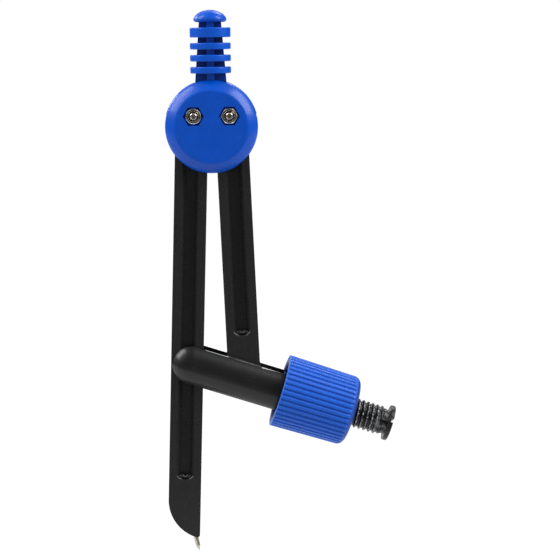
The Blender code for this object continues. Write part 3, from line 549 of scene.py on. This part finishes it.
def worn_thread():
    """Black screw plastic, rubbed pale along the crests and smeared near the flange."""
    material, tree, shader, local, shade = plastic("worn_black_screw", HOLDER, SCREW_BLACK,
                                                   GREY_WEAR, 0.32, scratch=(2.0, 2.0, 2.0))
    radius, along = from_axis(tree, local)
    crest = times(tree, spread(tree, radius, 4.74, 4.93, 0.0, 1.0),
                  spread(tree, along, 48.4, 48.8, 1.0, 0.0))
    broken = spread(tree, noise(tree, local, 1.9, 4.0, 0.7), 0.48, 0.62, 0.0, 1.0)
    wear = times(tree, crest, broken)
    smear = spread(tree, noise(tree, local, 0.6, 2.0, 0.5), 0.42, 0.66, 0.0, 1.0, True)
    smear = times(tree, smear, spread(tree, along, 43.5, 46.5, 0.0, 0.34),
                  spread(tree, along, 49.6, 50.0, 1.0, 0.06))
    wear = math_node(tree, "MAXIMUM", wear, smear)
    paint(tree, shader, mix(tree, times(tree, wear, 0.7), shade, (0.50, 0.51, 0.52)))
    return material


holder_black = holder_black_painted_highlight()
screw_black = worn_thread()
left_black = leg_black("moulded_black_left", LEFT_LEG)
right_black = leg_black("moulded_black_right", RIGHT_LEG)
nickel = nickel_painted_corner_highlight()
handle_blue = handle_blue_painted_light()
knob_blue = knob_blue_painted_light()

# ---- head


def head_opening():
    """Free space between the covers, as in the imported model."""
    open_turn = math.radians(OPEN)
    normal = polar(OUTER + PLAY, open_turn)
    along = polar(1.0, open_turn - math.pi / 2)
    near = (PIVOT_X + normal[0], PIVOT_Z + normal[1])
    inner = DISC - WALL
    middle = near[0] * along[0] + near[1] * along[1]
    reach = -middle + math.sqrt(middle ** 2 + inner ** 2 - near[0] ** 2 - near[1] ** 2)
    foot = (near[0] + reach * along[0], near[1] + reach * along[1])
    x, z = (near[index] + (reach + DISC) * along[index] for index in (0, 1))
    angle = math.atan2(foot[1], foot[0])
    outline = arc((0.0, 0.0), inner, angle, math.pi - angle, 48)
    return outline + [(-x, z), (-x, -FAR), (x, -FAR), (x, z)]


def edge_band():
    """Depth and width of the head's edge, from its flat face to its side."""
    # Way out from the flat face, and the slope there in degrees
    bends = [(0.0, 0.0), (0.3, 18.0), (0.8, 35.0), (2.0, 39.0), (2.8, 44.0), (3.4, 53.0),
             (3.7, 64.0), (3.85, 76.0), (3.9, 86.0)]
    steps = 4
    points, depth = [], 0.0
    for (start, low), (end, high) in zip(bends, bends[1:]):
        for step in range(steps):
            slope = low + (high - low) * (step + 0.5) / steps
            points.append((depth, start + (end - start) * step / steps))
            depth += (end - start) / steps * math.tan(math.radians(slope))
    points.append((depth, bends[-1][0]))
    return points


def cover(name, face_y, parting_y):
    """One dished half of the head, open below and at the neck of the handle."""
    neck, neck_z = 5.5, 10.45
    inward = 1.0 if parting_y > face_y else -1.0
    profile = [(face_y + inward * depth, FLAT + out) for depth, out in edge_band()]
    # A small rounding where the covers meet
    for back, down in ((0.12, 0.0), (0.03, 0.04), (0.0, 0.12)):
        profile.append((parting_y - inward * back, DISC - down))
    shell = lathe(name, profile, 160, ALONG_Y)
    plate, beyond = face_y + inward * PLATE, parting_y + inward * OVER
    opening = prism("opening", head_opening(), plate, beyond, HEAD)
    notch = block((-neck, min(plate, beyond), neck_z), (neck, max(plate, beyond), FAR), HEAD)
    return cut(shell, opening, notch)


def at_pivot(side):
    return shift(side * PIVOT_X, 0, PIVOT_Z)


def hexagon(across, first, corner=0.0):
    points = [polar(across / math.sqrt(3), first + math.pi / 3 * step) for step in range(6)]
    return rounded([(*point, corner) for point in points], True) if corner else points


def round_tool(place, radius, near, far, sides=64):
    return lathe("tool", [(near, radius), (far, radius)], sides, place @ ALONG_Y)


def front_cover():
    """Front half, with a hexagon pocket for each nut and a socket for the peg."""
    outside = -DEPTH - OVER
    shell = cover("front_cover_fine", -DEPTH, MIDDLE - PARTING)
    for side in (-1, 1):
        pocket = prism("pocket", hexagon(POCKET_FLATS, 0.0, 0.35), outside, NUT_FAR + PLAY,
                       at_pivot(side))
        cut(shell, pocket, round_tool(at_pivot(side), PIVOT_HOLE, outside, MIDDLE))
    cut(shell, round_tool(shift(0, 0, PEG_Z), PEG_HOLE, -12.5, -10.0))
    polish(shell, 0.10, 40)
    return piece(shell, "head", head_blue, "head_blue", "front_cover")


def rear_cover():
    """Rear half, with a round recess for each bolt's head and the peg of the handle."""
    shell = cover("rear_cover_fine", 0.0, MIDDLE + PARTING)
    for side in (-1, 1):
        cut(shell, round_tool(at_pivot(side), BOLT_HEAD + PLAY, BOLT_SEAT - PLAY, OVER),
            round_tool(at_pivot(side), PIVOT_HOLE, MIDDLE, OVER))
    peg = lathe("peg", [(-12.2, PEG), (-1.5, PEG)], 48, shift(0, 0, PEG_Z) @ ALONG_Y)
    join(shell, peg)
    polish(shell, 0.10, 40)
    return piece(shell, "head", head_blue, "head_blue", "rear_cover")


def handle():
    """Cross-shaped core with a tongue below, domed cap and four rings."""
    foot, top, half = 13.85, 34.8, 1.3
    rib_half, rib_depth = 1.25, 3.4
    tongue_half, tongue_low, tongue_high = 4.9, 10.75, 14.35
    dome_radius, dome_foot, dome_rise, dome_steps = 5.45, 34.75, 3.25, 28
    ring_radius, ring_round = 6.72, 0.38
    web = prism("handle_fine", [(-5.2, foot), (5.2, foot), (3.6, top), (-3.6, top)],
                -half, half, HANDLE)
    rib = block((-rib_half, -rib_depth, 13.8), (rib_half, rib_depth, 34.7), HANDLE)
    tongue = block((-tongue_half, -THICK, tongue_low), (tongue_half, THICK, tongue_high), HANDLE)
    join(web, rib, tongue)
    cut(web, lathe("hole", [(-5.0, PEG_HOLE), (5.0, PEG_HOLE)], 48,
                   HANDLE @ shift(0, 0, PEG_Z) @ ALONG_Y))
    dome = rounded([(34.0, 0.0), (34.0, 4.85, 0.3), (34.55, 5.42, 0.35)])
    for step in range(1, dome_steps + 1):
        turn = math.pi / 2 * step / dome_steps
        dome.append((dome_foot + dome_rise * math.sin(turn) ** 1.12,
                     dome_radius * math.cos(turn) if step < dome_steps else 0.0))
    join(web, lathe("dome", dome, 128, HANDLE))
    for low, high in ((29.05, 32.25), (25.15, 27.30), (21.25, 23.40), (17.35, 19.50)):
        ring = rounded([(low, 0.0), (low, ring_radius, ring_round),
                        (high, ring_radius, ring_round), (high, 0.0)])
        join(web, lathe("ring", ring, 128, HANDLE))
    polish(web, 0.20, 50)
    return piece(web, "head", handle_blue, "head_blue", "handle")


# ---- legs


def tooth(centre):
    """Outline of one involute tooth."""
    pressure_angle, addendum, dedendum, backlash, steps = 25, 0.9, 1.25, 0.11, 4
    base = PIVOT_X * math.cos(math.radians(pressure_angle))

    def involute(radius):
        pressure = math.acos(min(1.0, base / radius))
        return math.tan(pressure) - pressure

    module = 2 * PIVOT_X / TEETH
    reach = math.pi / (2 * TEETH) - backlash / PIVOT_X + involute(PIVOT_X)
    flank = [(PIVOT_X - dedendum * module, reach)]
    top = PIVOT_X + addendum * module
    for step in range(steps + 1):
        radius = base + (top - base) * step / steps
        flank.append((radius, reach - involute(radius)))
    return ([polar(radius, centre - half) for radius, half in flank]
            + [polar(radius, centre + half) for radius, half in reversed(flank)])


def leg_eye(first_tooth):
    """Top of a leg, from its outer edge over the gear teeth to its inner edge."""
    pitch = 2 * math.pi / TEETH
    start = math.pi + first_tooth * pitch
    outline = arc((0.0, 0.0), OUTER, 0.0, start - pitch * 0.75, 32)
    for index in range(5):
        outline += tooth(start + index * pitch)
    while outline[-1][0] > INNER:
        inside = outline.pop()
    outside = outline[-1]
    share = (outside[0] - INNER) / (outside[0] - inside[0])
    outline.append((INNER, outside[1] + share * (inside[1] - outside[1])))
    return outline


def trough(groove_end, half, drop, lift):
    """Outline of the groove at one level: straight sides, and a flat arc at the lower end."""
    upper = (CENTRE, -GROOVE_TOP - GROOVE_HALF)
    reach = (half * half + drop * drop) / (2 * drop)
    middle = (CENTRE, lift - groove_end + reach)
    swing = math.asin(half / reach)
    return (arc(upper, half, 0, math.pi, 24)
            + arc(middle, reach, -math.pi / 2 - swing, -math.pi / 2 + swing, 24))


def shelf(groove_end, lift):
    """Outline of a low bridge over the trough's end, its upper edge in two humps."""
    half, foot, rise, hump, steps = 2.1, 1.4, 1.65, 0.50, 24
    outline = []
    for step in range(steps + 1):
        x = 2 * half * step / steps - half
        z = lift - groove_end + rise + hump * abs(math.sin(math.pi * x / half))
        outline.append((CENTRE + x, z))
    return outline + [(CENTRE + x, lift + foot - groove_end) for x in (half, -half)]


def leg(name, outline, groove_end, place):
    """Plate with a pivot hole and a trough on both faces; each trough ends in a round slope."""
    body = prism(name, outline, -THICK, THICK, place)
    cut(body, round_tool(place, PIVOT_HOLE, -5.0, 5.0))
    mouth = trough(groove_end, GROOVE_HALF, 1.75, 0.0)
    for side in (-1, 1):
        levels = [(THICK - GROOVE_DEPTH, trough(groove_end, 1.55, 0.90, 0.70)),
                  (THICK - 0.25, trough(groove_end, 2.66, 1.60, 0.36)),
                  (THICK, mouth), (THICK + OVER, mouth)]
        bridge = [(THICK - 2.1, shelf(groove_end, 0.0)), (THICK - 0.68, shelf(groove_end, 0.0)),
                  (THICK - 0.30, shelf(groove_end, -0.38))]
        tool = loft("groove", [(side * level, shape) for level, shape in levels], place)
        cut(tool, loft("shelf", [(side * level, shape) for level, shape in bridge], place))
        cut(body, tool)
    return body


def needle_axis(place):
    """Place of the needle's tip, with Z back along the needle."""
    lean = Matrix.Rotation(math.pi + NEEDLE_LEAN, 4, "Y")
    return place @ shift(NEEDLE_X, 0, -NEEDLE_DROP) @ lean


def needle_leg():
    """Long leg, its foot rounded by a large arc with a small corner at the needle."""
    place = LEFT_LEG @ FLIP
    round_foot, corner_radius = 13.3, 0.9
    centre = (OUTER - round_foot, -128.4)
    across = INNER + corner_radius - centre[0]
    corner = (INNER + corner_radius,
              centre[1] - math.sqrt((round_foot - corner_radius) ** 2 - across ** 2))
    meet = math.atan2(corner[1] - centre[1], across)
    outline = leg_eye(-3.5) + arc(corner, corner_radius, -math.pi, meet, 12)
    outline += arc(centre, round_foot, meet, 0.0, 48)[1:]
    body = leg("needle_leg_fine", outline, NEEDLE_GROOVE, place)
    cut(body, lathe("bore", [(-17.2, 1.0), (1.0, 1.0)], 48, needle_axis(place)))
    polish(body, 0.22, 35)
    return piece(body, "needle_leg", left_black, "leg_black", "needle_leg")


def needle_point():
    """Steel pin with a long cone at its tip."""
    profile = rounded([(-17.0, 0.0), (-17.0, 0.8, 0.15), (-2.0, 0.8, 0.5), (-0.12, 0.07, 0.1),
                       (0.0, 0.0)])
    pin = lathe("needle_point_fine", profile, 48, needle_axis(LEFT_LEG @ FLIP))
    polish(pin, 0.0)
    return piece(pin, "needle_leg", needle_steel, "needle_steel", "needle_point")


def on_leg(u, v):
    """Point of the holder's frame (u along it, v across) in the leg's own plane."""
    return (CENTRE + u * math.cos(TILT) + v * math.sin(TILT),
            -HOLDER_DROP - u * math.sin(TILT) + v * math.cos(TILT))


def pencil_leg():
    """Short leg; its foot fills the holder's slot up to the seat, and is cut square to it."""
    foot, seat = -5.6825, 4.2
    u = (INNER - CENTRE - foot * math.sin(TILT)) / math.cos(TILT)
    v = (OUTER - CENTRE - seat * math.cos(TILT)) / math.sin(TILT)
    outline = leg_eye(-3.0) + [on_leg(u, foot), on_leg(seat, foot), on_leg(seat, v)]
    body = leg("pencil_leg_fine", outline, PENCIL_GROOVE, RIGHT_LEG)
    for down, radius in ((81.7, 0.75), (67.1, 0.45)):
        level = THICK if down > PENCIL_GROOVE else THICK - GROOVE_DEPTH
        dimple = [(-level - 0.2, radius), (-level + 0.02, radius * 0.8),
                  (-level + 0.30 * radius, 0.0)]
        cut(body, lathe("mark", dimple, 32, RIGHT_LEG @ shift(CENTRE + 0.1, 0, -down) @ ALONG_Y))
    polish(body, 0.22, 35)
    return piece(body, "pencil_leg", right_black, "leg_black", "pencil_leg")


# ---- pencil holder, screw and knob


def leg_root(side):
    """Fillet that runs the leg's face into the holder's wall; side -1 is the front."""
    depth, fillet, steps = 5.1, 1.4, 10
    sunk, widest = 5.6, 0.35
    level = math.sqrt((BAR + fillet) ** 2 - depth ** 2)
    reach = math.atan2(level, depth)
    arch = arc((depth, level), fillet, math.pi, math.pi + reach, steps)
    section = [(y, v, widest * (step / steps) ** 2) for step, (y, v) in enumerate(arch)]
    shape = bmesh.new()
    rows = []
    for y, v, widen in section + [(SLOT_HALF, sunk, widest), (3.2, sunk, 0.3), (3.2, level, 0.0)]:
        row = []
        for x in (INNER - widen, OUTER + widen):
            z = -HOLDER_DROP + (v - (x - CENTRE) * math.sin(TILT)) / math.cos(TILT)
            row.append(shape.verts.new((x, side * y, z)))
        rows.append(row)
    for near, far in zip(rows, rows[1:] + rows[:1]):
        shape.faces.new((near[0], near[1], far[1], far[0]))
    for end in (0, 1):
        shape.faces.new([row[end] for row in rows])
    return new_object("root", shape, RIGHT_LEG)


def pencil_holder():
    """Ball-ended bar, slotted for the legs and the pencil, with keyways for the ring's keys."""
    ball, keyway_from, keyway, bore, steps = -18.6, 4.2, 4.39, 3.3, 32
    profile = []
    for step in range(steps + 1):
        turn = math.pi / 2 * step / steps
        profile.append((ball - BAR * math.cos(turn), BAR * math.sin(turn)))
    profile += rounded([(0.0, BAR), (BAR_END, BAR, 0.4), (BAR_END, 7.0)])
    bar = lathe("pencil_holder_fine", profile, 144, HOLDER @ ALONG_X)
    half = SLOT_HALF
    cut(bar, block((-30, -half, -9), (SLOT_END, half, 9), HOLDER),
        block((keyway_from, -half, keyway), (27, half, 9), HOLDER),
        block((keyway_from, -half, -9), (27, half, -keyway), HOLDER),
        lathe("bore", [(SLOT_END - OVER, bore), (27.0, bore)], 64, HOLDER @ ALONG_X))
    polish(bar, 0.42, 40, 5)
    join(bar, leg_root(-1), leg_root(1))
    polish(bar, 0.0)
    return piece(bar, "pencil_leg", holder_black, "leg_black", "pencil_holder")


def smooth(value):
    """Soft step from 0 to 1, held at its ends."""
    value = min(max(value, 0.0), 1.0)
    return value * value * (3 - 2 * value)


def thread_turn(height, angle):
    """How many turns a point is along the thread."""
    return (height - THREAD_FROM) / PITCH - angle / (2 * math.pi)


def thread_level(height, angle):
    """How far up the thread's flank a point lies, from 0 at the root to 1 on the crest."""
    crest_half, base_half = 0.08, 0.40
    turn = thread_turn(height, angle)
    off = abs(turn - math.floor(turn) - 0.5)
    return smooth((base_half - off) / (base_half - crest_half))


def threaded_stud():
    """Coarse screw with a plain tail in the holder and a slotted flange at its end."""
    tail, neck, slot_half, slot_depth = 3.0, 4.1, 0.6, 0.9

    def radius_at(height, radius, angle):
        if not THREAD_FROM < height < THREAD_TO or radius < ROOT - 0.001:
            return radius
        fade = min(1.0, (height - THREAD_FROM) / PITCH, (THREAD_TO - height) / PITCH)
        return radius + (CREST - ROOT) * fade * thread_level(height, angle)

    profile = [(SLOT_END, 0.0), (SLOT_END, tail), (THREAD_FROM, tail)]
    rows = 14 * 22
    for row in range(rows + 1):
        profile.append((THREAD_FROM + (THREAD_TO - THREAD_FROM) * row / rows, ROOT))
    profile += rounded([(THREAD_TO, ROOT), (THREAD_TO + 0.1, neck, 0.1), (FLANGE_FROM, neck, 0.25),
                        (FLANGE_FROM, FLANGE, 0.25), (FLANGE_TO, FLANGE, 0.40),
                        (FLANGE_TO, 0.0)])[1:]
    stud = lathe("threaded_stud_fine", profile, 96, HOLDER @ ALONG_X, radius_at=radius_at)
    turned = HOLDER @ Matrix.Rotation(math.radians(-20), 4, "X")
    cut(stud, block((FLANGE_TO - slot_depth, -7, -slot_half), (53, 7, slot_half), turned))
    polish(stud, 0.12, 60)
    return piece(stud, "pencil_leg", screw_black, "stud_black", "threaded_stud")


def clamp_knob():
    """Ribbed cup with a rounded shoulder; its bore carries the thread that the stud turns in."""
    side_foot, side_radius, draft, end_radius, bend_in = 0.9, 12.235, 0.435, 8.8, 3.0
    straight, bend, rows = 8, 14, 44
    rib_height, bore_from, bore_to = 0.42, FLOOR + 0.3, KNOB_END - 0.4
    outer = [(RIM, 12.06), (RIM + 0.03, 12.13), (RIM + 0.10, 12.19), (RIM + 0.20, 12.225),
             (RIM + 0.34, 12.24), (RIM + 0.50, 12.24), (RIM + side_foot, side_radius)]
    for step in range(1, straight + 1):
        share = step / straight
        outer.append((RIM + side_foot + (SHOULDER - RIM - side_foot) * share,
                      side_radius - draft * share))
    for step in range(1, bend + 1):
        turn = math.pi / 2 * step / bend
        outer.append((SHOULDER + SHOULDER_ROUND * math.sin(turn),
                      end_radius + bend_in * math.cos(turn)))
    outer += [(KNOB_END, 7.0)]
    bore = [(KNOB_END, 5.7), (KNOB_END - 0.15, 5.42), (bore_to, KNOB_BORE)]
    for row in range(1, rows):
        bore.append((bore_to - (bore_to - bore_from) * row / rows, KNOB_BORE))
    inner = rounded([(bore_from, KNOB_BORE), (FLOOR, 5.45, 0.1), (FLOOR, 9.2, 0.4),
                     (RIM + 3.3, 9.2, 0.1), (RIM + 3.3, 10.4, 0.1), (RIM + 1.2, 10.4, 0.1),
                     (RIM + 1.2, 9.8, 0.2), (RIM + 0.15, 9.8), (RIM, 9.95)])
    profile = outer + bore + inner + [(RIM, 11.7)]

    def radius_at(height, radius, angle):
        if height > RIM + 0.05 and radius > 10.5:
            phase = (angle * RIBS / (2 * math.pi)) % 1.0
            off = abs(phase - 0.5) * 2
            deep = smooth((off - 0.42) / 0.40)
            fade = smooth((height - RIM - 0.12) / 0.30)
            skin_radius = KNOB - TAPER * (height - RIM) / (SHOULDER - RIM)
            valley = min(radius, skin_radius - rib_height)
            return radius - (radius - valley) * fade * deep
        if abs(radius - KNOB_BORE) < 0.001 and bore_from < height < bore_to:
            ends = min(height - bore_from, bore_to - height) / 0.6
            return radius - (CREST - ROOT) * smooth(ends) * knob_ridge(height, angle)
        return radius

    knob = lathe("clamp_knob_fine", profile, RIBS * 12, HOLDER @ ALONG_X, True, radius_at)
    polish(knob, 0.0)
    return piece(knob, "clamp_knob", knob_blue, "knob_blue", "clamp_knob")


def knob_ridge(height, angle):
    """The knob's ridge runs in the middle of the stud's groove."""
    half, flank = 0.36, 0.2
    turn = thread_turn(height, angle)
    off = abs(turn - round(turn)) * PITCH
    return smooth((half - off) / flank)


def pressure_ring():
    """Flat ring in the knob's mouth, with two keys that run in the holder's keyways."""
    near, far, inside, outside = RIM + 1.5, RIM + 3.0, 7.79, 10.1
    tip, low, middle, high = RIM - 0.3, 4.69, 6.03, 8.945
    profile = rounded([(near, inside, 0.1), (near, outside, 0.12), (far, outside, 0.12),
                       (far, inside, 0.1)], True)
    ring = lathe("pressure_ring_fine", profile, 128, HOLDER @ ALONG_X, True)
    for side in (-1, 1):
        outline = [(tip, low), (far - 0.15, low), (far - 0.15, high), (near + 0.15, high),
                   (near + 0.15, middle), (tip, middle)]
        outline = [(u, side * v) for u, v in outline]
        join(ring, prism("key", outline, -THICK, THICK, HOLDER))
    polish(ring, 0.15, 50)
    return piece(ring, "pressure_ring", ring_blue_painted_shade, "knob_blue", "pressure_ring")


# ---- bolts and nuts


def pivot_bolt(name, side):
    """Bolt with a low slotted head behind and a flat, chamfered end in front."""
    profile = rounded([(BOLT_END + 0.05, 0.0), (BOLT_END + 0.08, 0.80, 0.1), (BOLT_END, 0.92, 0.1),
                       (-DEPTH, BOLT, 0.1), (BOLT_SEAT, BOLT, 0.05), (BOLT_SEAT, BOLT_HEAD, 0.1),
                       (-0.55, BOLT_HEAD, 0.35), (0.0, 1.75, 0.4), (0.0, 0.0)])
    bolt = lathe(name + "_fine", profile, 64, at_pivot(side) @ ALONG_Y)
    cut(bolt, block((-4, -0.7, -0.35), (4, OVER, 0.35), at_pivot(side)))
    polish(bolt, 0.05, 60)
    return piece(bolt, "head", nickel, "plated_steel", name)


def pivot_nut(name, side, turn):
    """Hexagon nut with chamfered corners on both faces and a countersunk hole."""
    chamfer, face, corner, sink = 0.46, 2.30, 3.1, 0.35
    outline = hexagon(NUT_FLATS, math.radians(turn))
    nut = prism(name + "_fine", outline, NUT_NEAR, NUT_FAR, at_pivot(side))
    cone = lathe("cone", [(NUT_NEAR - 0.01, face), (NUT_NEAR + chamfer, corner),
                          (NUT_FAR - chamfer, corner), (NUT_FAR + 0.01, face)], 96,
                 at_pivot(side) @ ALONG_Y)
    combine("INTERSECT", nut, [cone])
    hole = lathe("hole", [(NUT_NEAR - 0.2, 2.00), (NUT_NEAR + sink, NUT_HOLE),
                          (NUT_NEAR + sink + 0.01, NUT_HOLE), (NUT_FAR + OVER, NUT_HOLE)], 64,
                 at_pivot(side) @ ALONG_Y)
    cut(nut, hole)
    polish(nut, 0.05, 20, 2)
    return piece(nut, "head", nickel, "plated_steel", name)


front_cover()
rear_cover()
handle()
needle_leg()
needle_point()
pencil_leg()
pencil_holder()
threaded_stud()
pressure_ring()
clamp_knob()
for side, word, turn in ((-1, "left", 30.0), (1, "right", 0.0)):
    pivot_bolt("pivot_bolt_" + word, side)
    pivot_nut("pivot_nut_" + word, side, turn)


# ---- studio

LEFT_LAMP, RIGHT_LAMP = (-84, 42), (72, 38)
LAMP_AIM, LAMP_DISTANCE = Vector((0.02, 0.0, -0.05)), 1.2
ROOM_GLOSS, ROOM_BELOW, HALO = 0.05, 0.45, 0.9
SOFT_FRONT, SOFT_BACK = 0.76, 0.60
FLOOR_Z = -0.2
FRAME, FOCAL, SENSOR = 560, 1950, 36.0


def direction(azimuth, elevation):
    """Azimuth 0 is the camera's side, positive to the right."""
    side, up = math.radians(azimuth), math.radians(elevation)
    return Vector((math.sin(side) * math.cos(up), -math.cos(side) * math.cos(up), math.sin(up)))


def softbox(name, azimuth, elevation, power, width, height):
    """Large soft lamp; its size and place are in metres, its power in watts."""
    way = direction(azimuth, elevation)
    data = bpy.data.lights.new(name, "AREA")
    data.shape = "RECTANGLE"
    data.size, data.size_y, data.energy = width, height, power
    lamp = bpy.data.objects.new(name, data)
    lamp.location = LAMP_AIM + way * LAMP_DISTANCE
    lamp.rotation_euler = way.to_track_quat("Z", "Y").to_euler()
    bpy.context.scene.collection.objects.link(lamp)


softbox("softbox_left", *LEFT_LAMP, 14.0, 0.50, 0.90)
softbox("softbox_right", *RIGHT_LAMP, 15.5, 0.50, 0.85)
softbox("softbox_behind", -128, 27, 5.5, 0.45, 0.35)
softbox("softbox_top", 155, 47, 3.0, 0.40, 0.40)


def studio_world():
    """White backdrop behind the object; the room is dim in gloss and even in soft light."""
    world = bpy.data.worlds.new("studio")
    bpy.context.scene.world = world
    world.cycles.sampling_method = "NONE"
    world.use_nodes = True
    tree = world.node_tree
    background = tree.nodes["Background"]
    aim = node(tree, "TexCoord").outputs["Generated"]
    way = node(tree, "SeparateXYZ", Vector=aim).outputs
    behind = spread(tree, way[1], 0.84, 0.97, 0.0, 1.0, True)
    below = spread(tree, way[2], 0.0, -0.6, 0.0, 1.0, True)
    room = spread(tree, below, 0.0, 1.0, ROOM_GLOSS, ROOM_BELOW)
    for lamp in (LEFT_LAMP, RIGHT_LAMP):
        near = node(tree, "VectorMath", {"operation": "DOT_PRODUCT"}, i0=aim,
                    i1=tuple(direction(*lamp))).outputs["Value"]
        room = math_node(tree, "MAXIMUM", room, spread(tree, near, 0.66, 0.95, 0.0, HALO, True))
    overhead = times(tree, spread(tree, way[1], 0.35, 0.60, 0.0, 1.0, True),
                     spread(tree, way[2], 0.42, 0.62, 0.0, 1.0, True))
    room = spread(tree, behind, 0.0, 1.0, room, 1.0)
    room = spread(tree, overhead, 0.0, 1.0, room, 1.0)
    soft = spread(tree, way[1], -0.6, 0.6, SOFT_FRONT, SOFT_BACK)
    soft = times(tree, soft, spread(tree, way[2], -1.0, 1.0, 0.70, 1.30))
    rays = node(tree, "LightPath").outputs
    level = node(tree, "Mix", {"data_type": "FLOAT"}, i0=rays["Is Glossy Ray"], i2=soft, i3=room)
    seen = math_node(tree, "MAXIMUM", rays["Is Camera Ray"], rays["Is Transmission Ray"])
    strength = node(tree, "Mix", {"data_type": "FLOAT"}, i0=seen, i2=level.outputs[0], i3=1.0)
    tree.links.new(strength.outputs[0], background.inputs["Strength"])
    background.inputs["Color"].default_value = (1.0, 1.0, 1.0, 1.0)


studio_world()


def floor():
    """Pale floor under the needle, white to the camera but for the object's shadow."""
    shape = bmesh.new()
    corners = [(-1.5, -0.2), (1.5, -0.2), (1.5, 2.5), (-1.5, 2.5)]
    shape.faces.new([shape.verts.new((x, y, FLOOR_Z)) for x, y in corners])
    mesh = bpy.data.meshes.new("floor")
    shape.to_mesh(mesh)
    shape.free()
    made = bpy.data.objects.new("floor", mesh)
    bpy.context.scene.collection.objects.link(made)
    material = bpy.data.materials.new("pale_floor")
    material.use_nodes = True
    tree = material.node_tree
    shader = tree.nodes["Principled BSDF"]
    shader.inputs["Roughness"].default_value = 0.9
    tone = noise(tree, node(tree, "TexCoord").outputs["Object"], 3.0, 3.0)
    paint(tree, shader, mix(tree, spread(tree, tone, 0.3, 0.7, 0.0, 1.0), (0.58, 0.58, 0.58),
                            (0.62, 0.62, 0.62)))
    glow = node(tree, "Emission", Color=(1, 1, 1, 1), Strength=1.06).outputs[0]
    rays = node(tree, "LightPath").outputs
    share = times(tree, rays["Is Camera Ray"], 0.93)
    both = node(tree, "MixShader", i0=share, i1=shader.outputs[0], i2=glow).outputs[0]
    tree.links.new(both, tree.nodes["Material Output"].inputs["Surface"])
    mesh.materials.append(material)


floor()


def camera():
    """Camera at the photograph's angle, in a frame of 560 by 560 pixels."""
    pitch, yaw, roll = math.radians(7.2), math.radians(-1.5), math.radians(-0.72)
    back = Vector((math.sin(yaw) * math.cos(pitch), -math.cos(yaw) * math.cos(pitch),
                   math.sin(pitch)))
    right = (-back).cross(Vector((0, 0, 1))).normalized()
    up = right.cross(-back)
    across = math.cos(roll) * right + math.sin(roll) * up
    upward = -math.sin(roll) * right + math.cos(roll) * up
    aim, distance = Vector((0.0219, -0.00625, -0.0515)), 0.65
    place = aim + back * distance
    data = bpy.data.cameras.new("camera")
    data.sensor_width = SENSOR
    data.lens = SENSOR * FOCAL / FRAME
    data.clip_start = 0.01
    made = bpy.data.objects.new("camera", data)
    made.matrix_world = Matrix(((across.x, upward.x, back.x, place.x),
                                (across.y, upward.y, back.y, place.y),
                                (across.z, upward.z, back.z, place.z), (0, 0, 0, 1)))
    bpy.context.scene.collection.objects.link(made)
    bpy.context.scene.camera = made


camera()
bpy.context.scene.view_settings.view_transform = "Standard"
